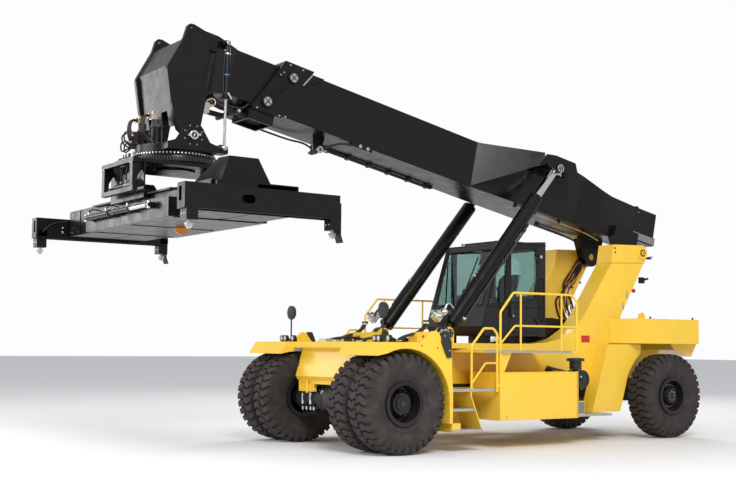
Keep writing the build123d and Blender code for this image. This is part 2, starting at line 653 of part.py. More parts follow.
def build_power_unit():
    unit = block((-4150, -2500), (-480, 480), (950, 1700))
    feet = [pair(block((x - 80, x + 80), (479, BEAM_INNER), (1200, 1320))) for x in (-3950, -2700)]
    save("engine", join(unit, *feet[0], *feet[1]))
    hood_rear = FRAME_REAR + 170
    hood_front = CAB_REAR - 100
    half = TOWER_INNER - 40
    hood = side_prism([(hood_rear, DECK_TOP), (hood_front, DECK_TOP), (hood_front, HOOD_TOP - 60),
                       (hood_front - 60, HOOD_TOP), (hood_rear, HOOD_TOP - 40)], (-half, half))
    for step in range(6):
        low = DECK_TOP + 90 + 55 * step
        slot = block((hood_rear + 120, hood_front - 120), (half - 15, half + 1), (low, low + 25))
        for piece in pair(slot):
            hood = hood - piece
    save("engine_hood", hood)
    cleaner = bar((-4300, 1330, 1150), (-4300, 1650, 1150), 170)
    cap = bar((-4280, 1480, 1330), (-4280, 1480, 1480), 110)
    hat = bar((-4280, 1480, 1480), (-4280, 1480, 1530), 165)
    bracket = block((-4360, -4240), (BEAM_OUTER, 1360), (1080, 1180))
    neck = bar((-4290, 1480, 1250), (-4280, 1480, 1340), 60)
    save("air_cleaner", join(cleaner, cap, hat, bracket, neck))


# ---------------------------------------------------------------- cab
CAB_SIDE = [
    (CAB_FRONT, CAB_BELT), (CAB_BROW, 3560), (CAB_BROW - 20, CAB_ROOF_FRONT), (CAB_REAR, CAB_ROOF),
    (CAB_REAR, CAB_FLOOR), (CAB_FRONT, CAB_FLOOR), (CAB_NOSE, 2105),
]
CAB_INSIDE = [
    (CAB_FRONT - CAB_WALL, CAB_BELT), (CAB_BROW - CAB_WALL, 3545), (CAB_BROW - 85, 3590),
    (CAB_REAR + CAB_WALL, CAB_ROOF - 55), (CAB_REAR + CAB_WALL, CAB_FLOOR + CAB_WALL),
    (CAB_FRONT - CAB_WALL, CAB_FLOOR + CAB_WALL), (CAB_NOSE - 65, 2115),
]
WINDSHIELD = [(-700, 2490), (700, 2490), (690, 3530), (-690, 3530)]
QUARTER = [
    (CAB_FRONT - 80, 2500), (CAB_BROW - 20, 3530), (DOOR_FRONT + 50, 3560), (DOOR_FRONT + 50, 2540),
]
REAR_WINDOW = [(-640, 2700), (640, 2700), (640, 3560), (-640, 3560)]
ROOF_WINDOW = [
    (CAB_REAR + 250, -500), (CAB_REAR + 850, -500), (CAB_REAR + 850, 500), (CAB_REAR + 250, 500),
]
DOORWAY = [
    (DOOR_FRONT, CAB_FLOOR + CAB_WALL), (DOOR_FRONT, DOOR_TOP), (DOOR_REAR, DOOR_TOP + DOOR_RISE),
    (DOOR_REAR, CAB_FLOOR + CAB_WALL),
]
DOOR_WINDOW = [
    (DOOR_FRONT - DOOR_FRAME, 2525), (DOOR_FRONT - DOOR_FRAME, 3530), (DOOR_REAR + DOOR_FRAME, 3575),
    (DOOR_REAR + DOOR_FRAME, 2635),
]


def build_cab():
    reach = (-CAB_HALF - 10, CAB_HALF + 10)
    inner = CAB_HALF - CAB_WALL
    openings = [
        side_prism(CAB_INSIDE, (-inner, inner)), side_prism(QUARTER, reach), side_prism(DOORWAY, reach),
        front_prism(WINDSHIELD, (CAB_BROW - 110, CAB_FRONT + 80)),
        front_prism(REAR_WINDOW, (CAB_REAR - 10, CAB_REAR + 90)),
        plan_prism(ROOF_WINDOW, (CAB_ROOF - 125, CAB_ROOF + 10)),
    ]
    shell = side_prism(CAB_SIDE, (-CAB_HALF, CAB_HALF))
    for opening in openings:
        shell = shell - opening
    mounts = []
    for rear in CAB_MOUNTS:
        mounts += pair(block((rear, rear + 170), (BEAM_INNER - 170, BEAM_INNER - 10), (DECK_TOP, CAB_FLOOR)))
    hinges = []
    for z in HINGE_HEIGHTS:
        barrel = bar((HINGE_X, HINGE_Y, z - 61), (HINGE_X, HINGE_Y, z - 1), 16)
        strap = block((HINGE_X - 60, HINGE_X), (CAB_HALF - 1, HINGE_Y + 8), (z - 61, z - 1))
        pin = bar((HINGE_X, HINGE_Y, z - 61), (HINGE_X, HINGE_Y, z + 64), HINGE_PIN_RADIUS)
        hinges += pair(join(barrel, strap, pin))
    save("cab_shell", join(shell, *mounts, *hinges))

    middle = CAB_HALF - CAB_WALL / 2
    glass = pair(side_prism(inset(QUARTER, SEAT_GAP), (middle - PANE / 2, middle + PANE / 2)))
    slab = side_prism([(CAB_FRONT - 36, CAB_BELT), (CAB_BROW - 36, 3560), (CAB_BROW - 36 + PANE, 3560),
                       (CAB_FRONT - 36 + PANE, CAB_BELT)], (-inner, inner))
    glass.append(slab & front_prism(inset(WINDSHIELD, SEAT_GAP), (CAB_BROW - 110, CAB_FRONT + 80)))
    glass.append(front_prism(inset(REAR_WINDOW, SEAT_GAP), (CAB_REAR + 26, CAB_REAR + 26 + PANE)))
    tilted = side_prism([(CAB_REAR + 950, 3622), (CAB_REAR + 150, 3668), (CAB_REAR + 150, 3668 + PANE),
                         (CAB_REAR + 950, 3622 + PANE)], (-inner, inner))
    glass.append(tilted & plan_prism(inset(ROOF_WINDOW, SEAT_GAP), (CAB_ROOF - 125, CAB_ROOF)))
    save("cab_glass", *glass)

    for side, place in (("left", lambda p: p), ("right", lambda p: mirror(p, about=Plane.XZ))):
        leaf = side_prism(inset(DOORWAY, DOOR_GAP), (CAB_HALF - 45, CAB_HALF))
        window = side_prism(DOOR_WINDOW, (CAB_HALF - 60, CAB_HALF + 10))
        grip = DOOR_FRONT - DOOR_FRAME
        handle = block((grip, grip + 25), (CAB_HALF, CAB_HALF + 35), (2300, 2480))
        knuckles = []
        for z in HINGE_HEIGHTS:
            barrel = bar((HINGE_X, HINGE_Y, z), (HINGE_X, HINGE_Y, z + 60), 16)
            strap = block((HINGE_X, HINGE_X + 70), (CAB_HALF - 1, HINGE_Y + 8), (z, z + 60))
            bore = bar((HINGE_X, HINGE_Y, z - 1), (HINGE_X, HINGE_Y, z + 61), HINGE_PIN_RADIUS + RUNNING_FIT)
            knuckles.append(join(barrel, strap) - bore)
        save(f"cab_door_{side}", place(join(leaf - window, handle, *knuckles)))
        pane = side_prism(inset(DOOR_WINDOW, SEAT_GAP), (CAB_HALF - 26, CAB_HALF - 26 + PANE))
        save(f"door_glass_{side}", place(pane))

    floor = CAB_FLOOR + CAB_WALL
    base = block((SEAT_X - 200, SEAT_X + 200), (-230, 230), (floor, SEAT_TOP - 120))
    cushion = block((SEAT_X - 250, SEAT_X + 270), (-260, 260), (SEAT_TOP - 120, SEAT_TOP))
    back = side_prism([(SEAT_X - 170, SEAT_TOP), (SEAT_X - 290, SEAT_TOP + 660), (SEAT_X - 400, SEAT_TOP + 660),
                       (SEAT_X - 280, SEAT_TOP)], (-250, 250))
    rest = block((SEAT_X - 180, SEAT_X + 220), (275, 345), (SEAT_TOP + 130, SEAT_TOP + 180))
    post = block((SEAT_X - 180, SEAT_X - 130), (230, 345), (SEAT_TOP - 90, SEAT_TOP + 150))
    save("driver_seat", join(base, cushion, back, *pair(rest, post)))

    dash = side_prism(
        [(CAB_FRONT - 80, floor), (CAB_FRONT - 80, CAB_BELT - 10), (CAB_FRONT - 220, CAB_BELT + 100),
         (CAB_FRONT - 320, CAB_BELT), (CAB_FRONT - 270, floor)], (-260, 260))
    column = bar((CAB_FRONT - 270, 0, CAB_BELT - 10), (WHEEL_X, 0, WHEEL_Z), 35)
    rim = Pos(WHEEL_X, 0, WHEEL_Z) * Rot(0, -35, 0) * Torus(190, 15)
    spokes = Pos(WHEEL_X, 0, WHEEL_Z) * Rot(0, -35, 0) * (Box(380, 30, 14) + Box(30, 380, 14))
    save("cab_console", join(dash, column, rim, spokes))


def build_lights_and_mirrors():
    base = 100
    top = DECK_TOP + 110
    lamps = []
    housings = []
    for middle in (-1500, 1500):
        housings.append(block((base - 45, base - 20), (middle - 240, middle + 290), (DECK_TOP, DECK_TOP + 60)))
        for offset in (-170, -50, 220):
            y = middle + offset
            housings.append(bar((base - 45, y, top - 50), (base, y, top - 50), 56))
            lamps.append(bar((base, y, top - 50), (base + 12, y, top - 50), 50))
    save("lamp_housings", join(*housings[:4]), join(*housings[4:]))
    save("work_lamps", *lamps)
    y = 1465
    stalk = bar((30, y, DECK_TOP), (30, y, 2230), 14)
    glass = bar((10, y, 2320), (50, y, 2320), 125)
    save("mirrors", *pair(join(stalk, glass)))


# ---------------------------------------------------------------- outer boom
def boom_shell(stations, wall):
    """A ruled tube of four-sided sections, each drawn in by the wall."""
    sections = []
    for top_s, low_s, top_half, low_half, low, high in stations:
        points = [
            (low_s, -low_half + wall, low + wall), (low_s, low_half - wall, low + wall),
            (top_s, top_half - wall, high - wall), (top_s, -top_half + wall, high - wall),
        ]
        sections.append(make_face(Polyline(points, close=True)))
    return Part() + loft(sections, ruled=True)


def lift_reliefs():
    """Room in the boom for a lift cylinder when the boom is lowered to level, in the boom's axes."""
    lean = math.radians(LEVEL_LEAN)

    def at(distance):
        s = LIFT_FOOT_X - FOOT_X - distance * math.cos(lean)
        n = LIFT_FOOT_Z - FOOT_Z + distance * math.sin(lean)
        return (s, LIFT_Y, n)

    half = LIFT_EYE_WIDTH / 2 + SIDE_PLAY
    end = LIFT_BARREL_LENGTH
    s, _, n = at(LEVEL_LENGTH)
    barrel = bar(at(end - 700), at(end + RELIEF_GAP), LIFT_BARREL_RADIUS + RELIEF_GAP)
    rod = bar(at(end), at(LEVEL_LENGTH), LIFT_ROD_RADIUS + RELIEF_GAP)
    eye = y_bar(s, (LIFT_Y - half, LIFT_Y + half), n, LIFT_EYE_RADIUS + RELIEF_GAP)
    return pair(barrel, rod, eye)


def build_outer_boom():
    stations = [
        # top s, bottom s, top half width, bottom half width, bottom n, top n
        (-860, -860, 430, 430, 400, 1085),
        (-200, -200, 450, 450, 400, 1075),
        (600, 600, 560, 500, BOOM_BOTTOM, 1050),
        (900, 850, 600, 500, BOOM_BOTTOM, 1080),
        (1500, 1500, 620, 500, BOOM_BOTTOM, 1200),
        (2120, 1560, 740, 500, BOOM_BOTTOM, WING_TOP + 40),
        (2950, 2950, 740, 490, BOOM_BOTTOM, WING_TOP),
        (4110, 4110, BOOM_HALF, BOOM_HALF, BOOM_BOTTOM, BOOM_TOP),
        (BOOM_FRONT_BOTTOM, BOOM_FRONT_BOTTOM, BOOM_HALF, BOOM_HALF, BOOM_BOTTOM, BOOM_TOP),
    ]
    body = boom_shell(stations, 0)
    hollow = boom_shell(stations[1:-1], FLARE_PLATE)
    rake = side_prism([(BOOM_FRONT_TOP, BOOM_TOP + 100), (BOOM_FRONT_TOP, BOOM_TOP), (BOOM_FRONT_BOTTOM, BOOM_BOTTOM),
                       (BOOM_FRONT_BOTTOM, 0), (BOOM_FRONT_BOTTOM + 800, 0), (BOOM_FRONT_BOTTOM + 800, 1200)],
                      (-700, 700))
    lip = COLLAR_LIP
    collar = side_prism(
        [(BOOM_FRONT_TOP - COLLAR_LENGTH, BOOM_TOP + lip), (BOOM_FRONT_TOP, BOOM_TOP + lip),
         (BOOM_FRONT_BOTTOM, BOOM_BOTTOM - lip), (BOOM_FRONT_BOTTOM - COLLAR_LENGTH, BOOM_BOTTOM - lip)],
        (-BOOM_HALF - lip, BOOM_HALF + lip),
    )
    caps = []
    for s, n in ((8154, 912), (8540, 369)):
        caps += pair(y_bar(s, (BOOM_HALF + lip - 5, BOOM_HALF + lip + 30), n, 75))
    lug = side_prism([(-250, 500), (-250, -40), *arc_points((0, 0), 200, 200, 340, 8), (420, 300), (420, 500)],
                     (400, TOWER_INNER - SIDE_PLAY - 1))
    reach = LIFT_Y + LIFT_EYE_WIDTH / 2 + SIDE_PLAY + 1
    cheek = side_prism([(WING_FRONT, WING_LOW), (2930, 1150), (2720, WING_TOP), (2200, WING_TOP), (2070, WING_LOW + 10),
                        (2310, WING_LOW)], (reach, reach + WING_PLATE))
    roof = block((2200, LIFT_EYE_S), (600, reach + WING_PLATE), (WING_TOP - 40, WING_TOP))
    bracket = side_prism([(2200, WING_LOW), (2200, WING_TOP), (2950, WING_TOP - 10), (2950, 860), (2500, 860)],
                         (600, LIFT_Y - LIFT_EYE_WIDTH / 2 - SIDE_PLAY - 1))
    cap = y_bar(LIFT_EYE_S, (reach, reach + WING_PLATE + 25), LIFT_EYE_N, 90)
    sections = []
    for s, near, far, low, high in ((4100, BOOM_HALF - 12, BOOM_HALF + 2, 260, BOOM_TOP - 5),
                                    (2990, BOOM_HALF - 12, reach + WING_PLATE, WING_LOW, WING_TOP - 30)):
        points = [(s, near, low), (s, far, low), (s, far, high), (s, near, high)]
        sections.append(make_face(Polyline(points, close=True)))
    gusset = Part() + loft(sections, ruled=True)
    liner = side_prism([(-870, 410), (-200, 410), (-200, 570), (-870, 570)], (429, 470))
    cavity = block(
        (CAVITY_REAR, BOOM_FRONT_BOTTOM + 900), (-BOOM_HALF + BOOM_PLATE, BOOM_HALF - BOOM_PLATE),
        (BOOM_BOTTOM + BOOM_PLATE, BOOM_TOP - BOOM_PLATE),
    )
    pads = []
    gap = INNER_GAP - SEAT_GAP
    low = BOOM_BOTTOM + BOOM_PLATE
    high = BOOM_TOP - BOOM_PLATE
    side = BOOM_HALF - BOOM_PLATE
    pads.append(block((BOOM_FRONT_BOTTOM - 450, BOOM_FRONT_BOTTOM - 100), (-300, 300), (low - 1, low + gap)))
    pads.append(block((BOOM_FRONT_TOP - 450, BOOM_FRONT_TOP - 100), (-300, 300), (high - gap, high + 1)))
    pads += pair(block((BOOM_FRONT_TOP - 250, BOOM_FRONT_TOP + 50), (side - gap, side + 1), (560, 760)))
    pin_hole = y_bar(0, (-TOWER_INNER, TOWER_INNER), 0, FOOT_PIN_RADIUS + RUNNING_FIT)
    solid = join(body, *pair(lug, bracket, gusset)) - rake - hollow
    whole = (join(solid, collar, *caps, *pair(cheek, roof, cap, liner)) - cavity) - pin_hole
    for relief in lift_reliefs():
        whole = whole - relief
    save("outer_boom", BOOM_AXES * join(whole, *pads))


# ---------------------------------------------------------------- inner boom and head
def build_inner_boom():
    half = BOOM_HALF - BOOM_PLATE - INNER_GAP
    low = BOOM_BOTTOM + BOOM_PLATE + INNER_GAP
    high = BOOM_TOP - BOOM_PLATE - INNER_GAP
    tube = block((INNER_REAR, HEAD_BEND), (-half, half), (low, high))
    hollow = block((INNER_REAR - 10, HEAD_BEND - 40), (-half + INNER_PLATE, half - INNER_PLATE),
                   (low + INNER_PLATE, high - INNER_PLATE))
    sections = []
    for s, wide, bottom in ((HEAD_BEND, half, low), (HEAD_START, HEAD_HALF, 130)):
        points = [(s, -wide, bottom), (s, wide, bottom), (s, wide, high + 10), (s, -wide, high + 10)]
        sections.append(make_face(Polyline(points, close=True)))
    flare = Part() + loft(sections, ruled=True)
    pin = (HEAD_PIN_S, HEAD_PIN_N)
    boss = arc_points(pin, HEAD_BOSS_RADIUS, 200, 330, 10)
    outline = [
        (HEAD_START, high + 10), (HEAD_START, 132), (9640, -450), *boss, (10011, -600), (10219, -188), (10384, 268),
        (10378, 341), (10220, 842), (10200, 1040), (10165, 1085), (10100, 1095), (9900, high + 10),
    ]
    cheeks = pair(side_prism(outline, (HEAD_HALF - CHEEK, HEAD_HALF)))
    inner = HEAD_HALF - CHEEK
    core = side_prism([(HEAD_START, high + 10), (HEAD_START, 132), (9672, -150), (10185, -150), (10355, 341),
                       (10190, 842), (9900, 1040)], (-inner, inner))
    void = side_prism([(HEAD_START - 5, 900), (HEAD_START - 5, 180), (9800, 150), (9800, -200), (10130, -200),
                       (10300, 335), (10130, 820)], (-inner + 20, inner - 20))
    apron = side_prism([(10189, -140), (10035, -540), (10008, -527), (10157, -140)], (-inner, inner))
    for slot in pair(block((9950, 10150), (140, 360), (-600, -300))):
        apron = apron - slot
    lug_face = HEAD_HALF + SIDE_PLAY + BELL_PLATE + 1
    keepers = pair(y_bar(HEAD_PIN_S, (lug_face, lug_face + 24), HEAD_PIN_N, 75))
    pins = pair(y_bar(HEAD_PIN_S, (HEAD_HALF - 200, lug_face + 1), HEAD_PIN_N, HEAD_PIN_RADIUS))
    whole = join(tube - hollow, flare, *cheeks, core - void, apron, *keepers, *pins)
    for groove in pair(block((HEAD_START + 10, HEAD_START + 110), (HEAD_HALF - 50, HEAD_HALF + 5), (100, 800))):
        whole = whole - groove
    whole = join(whole, *damper_top_pins())
    for eye in pair(y_bar(HEAD_EYE_S, (0, HEAD_HALF + 10), HEAD_EYE_N, HEAD_EYE_RADIUS)):
        whole = whole - (eye - block((HEAD_START, HEAD_START + 900), (-HEAD_HALF + CHEEK, HEAD_HALF - CHEEK), (0, 1200)))
    save("inner_boom", BOOM_AXES * whole)


# ---------------------------------------------------------------- cylinders
def cylinder_pair(start, end, y, sizes):
    """A barrel and rod between two pins in one side plane; sizes is a dictionary of radii and lengths."""
    line = Vector(end[0] - start[0], 0, end[1] - start[1])
    length = line.length
    along = line.normalized()
    barrel_end = sizes["barrel_length"]

    def at(distance):
        spot = Vector(start[0], y, start[1]) + along * distance
        return (spot.X, spot.Y, spot.Z)

    eye = sizes["eye_radius"]
    half = sizes["eye_width"] / 2
    pin = sizes["pin_radius"]
    foot = y_bar(start[0], (y - half, y + half), start[1], eye)
    neck = bar(at(eye * 0.6), at(sizes["neck"] + 1), half - 2)
    tube = bar(at(sizes["neck"]), at(barrel_end), sizes["barrel_radius"])
    bore = bar(at(sizes["neck"] + 60), at(barrel_end - 90), sizes["bore_radius"])
    gland = bar(at(barrel_end - 100), at(barrel_end + 1), sizes["rod_radius"] + RUNNING_FIT)
    pin_hole = y_bar(start[0], (y - half - 1, y + half + 1), start[1], pin + RUNNING_FIT)
    barrel = join(foot, neck, tube) - bore - gland - pin_hole
    rod = bar(at(sizes["piston_at"]), at(length - eye * 0.6), sizes["rod_radius"])
    piston = bar(at(sizes["piston_at"]), at(sizes["piston_at"] + 90), sizes["bore_radius"] - RUNNING_FIT)
    head = y_bar(end[0], (y - half, y + half), end[1], eye)
    rod_end = join(rod, piston, head)
    if sizes["cap"] > 0:
        rod_end = join(rod_end, y_bar(end[0], (y + half - 1, y + half + sizes["cap"]), end[1], pin))
    return barrel, rod_end


def build_lift_cylinders():
    sizes = {
        "barrel_radius": LIFT_BARREL_RADIUS, "bore_radius": LIFT_BORE_RADIUS, "rod_radius": LIFT_ROD_RADIUS,
        "barrel_length": LIFT_BARREL_LENGTH, "eye_radius": LIFT_EYE_RADIUS, "eye_width": LIFT_EYE_WIDTH,
        "pin_radius": LIFT_PIN_RADIUS, "piston_at": LIFT_PISTON, "neck": 200, "cap": 0,
    }
    barrel, rod = cylinder_pair((LIFT_FOOT_X, LIFT_FOOT_Z), (LIFT_EYE_X, LIFT_EYE_Z), LIFT_Y, sizes)
    for side, place in (("left", lambda p: p), ("right", lambda p: mirror(p, about=Plane.XZ))):
        save(f"lift_barrel_{side}", place(barrel))
        save(f"lift_rod_{side}", place(rod))

    half = LIFT_EYE_WIDTH / 2 + SIDE_PLAY
    crown = arc_points((LIFT_FOOT_X, LIFT_FOOT_Z), 110, 60, 180, 6)
    outline = [(-930, DECK_TOP), (-930, 1900), (-955, 1950), (-1000, 1972), (-1480, 1985), *crown, (-1730, DECK_TOP)]
    plates = [side_prism(outline, (LIFT_Y - half - 40, LIFT_Y - half)),
              side_prism(outline, (LIFT_Y + half, LIFT_Y + half + 40))]
    web = side_prism([(-930, DECK_TOP), (-930, 1900), (-955, 1945), (-1000, 1965), (-1250, 1965), (-1400, DECK_TOP)],
                     (LIFT_Y - half - 1, LIFT_Y + half + 1))
    eye = y_bar(-1060, (LIFT_Y - half - 60, LIFT_Y + half + 60), 1890, LUG_HOLE_RADIUS)
    pin = y_bar(LIFT_FOOT_X, (LIFT_Y - half - 60, LIFT_Y + half + 60), LIFT_FOOT_Z, LIFT_PIN_RADIUS)
    save("lift_feet", *pair(join(*plates, web, pin) - eye))


# ---------------------------------------------------------------- head yoke and dampers
DAMPER_Y = 705
DAMPER_TOP = (-540, 1520)
DAMPER_LOW = (-510, -150)
DAMPER_EYE_WIDTH = 60
DAMPER_PIN_RADIUS = 22
DAMPER_PISTON = 590


def damper_top_pins():
    """Pins on the head's cheeks for the dampers, in the boom's axes."""
    x = HEAD_X + DAMPER_TOP[0] - FOOT_X
    z = HEAD_Z + DAMPER_TOP[1] - FOOT_Z
    s = x * COS_BOOM + z * SIN_BOOM
    n = -x * SIN_BOOM + z * COS_BOOM
    stub = y_bar(s, (HEAD_HALF - 60, DAMPER_Y + DAMPER_EYE_WIDTH / 2 + 12), n, DAMPER_PIN_RADIUS)
    pad = y_bar(s, (HEAD_HALF - 200, DAMPER_Y - DAMPER_EYE_WIDTH / 2 - SIDE_PLAY), n, 60)
    return pair(stub, pad)


def build_yoke():
    inner = HEAD_HALF + SIDE_PLAY
    outer = inner + BELL_PLATE
    wide = 430
    bell = [(-wide, YOKE_BOTTOM), (-wide, YOKE_TOP), (-290, YOKE_TOP + 45), *arc_points((0, 0), BELL_RADIUS, 160, 20, 10),
            (290, YOKE_TOP + 45), (wide, YOKE_TOP), (wide, YOKE_BOTTOM)]
    lugs = pair(side_prism(bell, (inner, outer)), block((-wide, wide), (400, outer), (YOKE_BOTTOM, YOKE_TOP)))
    bore = y_bar(0, (-outer - 1, outer + 1), 0, HEAD_PIN_RADIUS + RUNNING_FIT)
    plate = Pos(0, 0, (YOKE_TOP + YOKE_BOTTOM) / 2) * Cylinder(RING_RADIUS - 20, YOKE_TOP - YOKE_BOTTOM)
    neck_low = RING_BOTTOM - CARRIAGE_PLATE - SEAT_GAP
    hub = bar((0, 0, neck_low - HUB_FLANGE), (0, 0, YOKE_BOTTOM + 1), SLEW_HUB_RADIUS)
    flange = bar((0, 0, neck_low - HUB_FLANGE), (0, 0, neck_low), SLEW_HUB_RADIUS + 70)
    face = DAMPER_Y - DAMPER_EYE_WIDTH / 2 - SIDE_PLAY
    arms = pair(side_prism([(-600, YOKE_BOTTOM), (-600, -130), (-560, -100), (-460, -100), (-400, YOKE_TOP),
                            (-300, YOKE_BOTTOM)], (460, face)))
    save("head_yoke", HEAD_AXES * (join(*lugs, plate, hub, flange, *arms) - bore))
    save("slew_drives", *pair(HEAD_AXES * bar((wide, 250, YOKE_TOP), (wide, 250, 120), 85)))

    sizes = {
        "barrel_radius": 48, "bore_radius": 38, "rod_radius": 22, "barrel_length": 900, "eye_radius": 42,
        "eye_width": DAMPER_EYE_WIDTH, "pin_radius": DAMPER_PIN_RADIUS, "piston_at": DAMPER_PISTON, "neck": 70, "cap": 30,
    }
    top = (HEAD_X + DAMPER_TOP[0], HEAD_Z + DAMPER_TOP[1])
    low = (HEAD_X + DAMPER_LOW[0], HEAD_Z + DAMPER_LOW[1])
    barrel, rod = cylinder_pair(top, low, DAMPER_Y, sizes)
    save("damper_barrels", *pair(barrel))
    save("damper_rods", *pair(rod))


# ---------------------------------------------------------------- slewing carriage and spreader
def build_carriage():
    gear = Pos(0, 0, (YOKE_BOTTOM + RING_BOTTOM) / 2 - SIDE_PLAY / 2) * Cylinder(
        RING_RADIUS, YOKE_BOTTOM - RING_BOTTOM - SIDE_PLAY)
    eye = Pos(0, 0, (YOKE_BOTTOM + RING_BOTTOM) / 2) * Cylinder(SLEW_HUB_RADIUS + SEAT_GAP, 400)
    wide = RAIL_REACH + 30
    under = RING_BOTTOM - CARRIAGE_PLATE
    rail_low = TUBE_TOP - RAIL_PLATE - SEAT_GAP
    top = block((-wide, wide), (-CARRIAGE_HALF, CARRIAGE_HALF), (under, RING_BOTTOM))
    walls = []
    for turn in (1, -1):
        wall = block((wide - 25, wide), (-CARRIAGE_HALF, CARRIAGE_HALF), (rail_low - 40, under + 1))
        claw = block((TUBE_OUTER + 15, wide), (-CARRIAGE_HALF, CARRIAGE_HALF), (rail_low - 40, rail_low))
        shoe = block((TUBE_OUTER - 120, wide - 24), (-CARRIAGE_HALF, CARRIAGE_HALF), (TUBE_TOP + SEAT_GAP, TUBE_TOP + 60))
        walls += [Rot(0, 0, 0 if turn == 1 else 180) * piece for piece in (wall, claw, shoe)]
    arms = pair(block((600, 960), (500, 600), (RING_BOTTOM - 60, RING_BOTTOM)))
    posts = pair(block((880, 960), (500, 600), (-930, RING_BOTTOM)))
    rail = block((880, 960), (-620, 620), (-930, -860))
    beam = block((880, 960), (-620, 620), (RING_BOTTOM - 60, RING_BOTTOM))
    whole = join(gear, top, *walls, *arms, *posts, rail, beam) - eye
    save("slew_carriage", HEAD_AXES * whole)


def end_beam(tube_side):
    """A left end beam; its telescopic beam runs in the front tube (1) or the rear tube (-1)."""
    beam_low = TUBE_BOTTOM + TUBE_WALL + BEAM_PLAY
    beam_high = TUBE_TOP - TUBE_WALL - BEAM_PLAY
    middle = tube_side * (TUBE_OUTER - TUBE_WALL + TUBE_INNER / 2) / 2
    half = (TUBE_OUTER - TUBE_WALL - TUBE_INNER / 2) / 2 - BEAM_PLAY
    beam = block((middle - half, middle + half), (-BEAM_TAIL, END_INNER + 5), (beam_low, beam_high))
    bore = block((middle - half + 14, middle + half - 14), (-BEAM_TAIL - 10, END_INNER - 20),
                 (beam_low + 14, beam_high - 14))
    cross = block((END_REAR, END_FRONT), (END_INNER, END_OUTER), (END_BOTTOM, END_TOP))
    inside = block((END_REAR + 20, END_FRONT - 20), (END_INNER + 15, END_OUTER - 15), (END_BOTTOM - 5, END_TOP - 20))
    housings = []
    holes = []
    for x in (-LOCK_SPACING_X / 2, LOCK_SPACING_X / 2):
        y = LOCK_SPACING_Y / 2
        housings.append(block((x - 85, x + 85), (y - 85, END_OUTER), (LOCK_PLANE, END_BOTTOM + 60)))
        holes.append(bar((x, y, LOCK_PLANE - 10), (x, y, END_BOTTOM + 100), LOCK_PIN_RADIUS + RUNNING_FIT))
    guide = side_prism(
        [(END_REAR + 1, END_BOTTOM + 240), (END_REAR - 20, END_BOTTOM + 240), (END_REAR - 20, LOCK_PLANE - 60),
         (END_REAR - 60, LOCK_PLANE - 170), (END_REAR - 40, LOCK_PLANE - 170), (END_REAR + 1, LOCK_PLANE - 60)],
        (END_OUTER - 160, END_OUTER),
    )
    arm = join(beam - bore, cross - inside, *housings, guide)
    window = (288, -1246)
    reach = (END_OUTER - 20, END_OUTER + 1)
    holes.append(block((window[0] - 45, window[0] + 45), reach, (window[1] - 58, window[1] + 58)))
    for x in (window[0] - 45, window[0] + 45):
        holes.append(y_bar(x, reach, window[1], 58))
    holes.append(block((END_FRONT - 30, END_FRONT + 1), (2850, 2930), (-1330, -1130)))
    for hole in holes:
        arm = arm - hole
    return arm


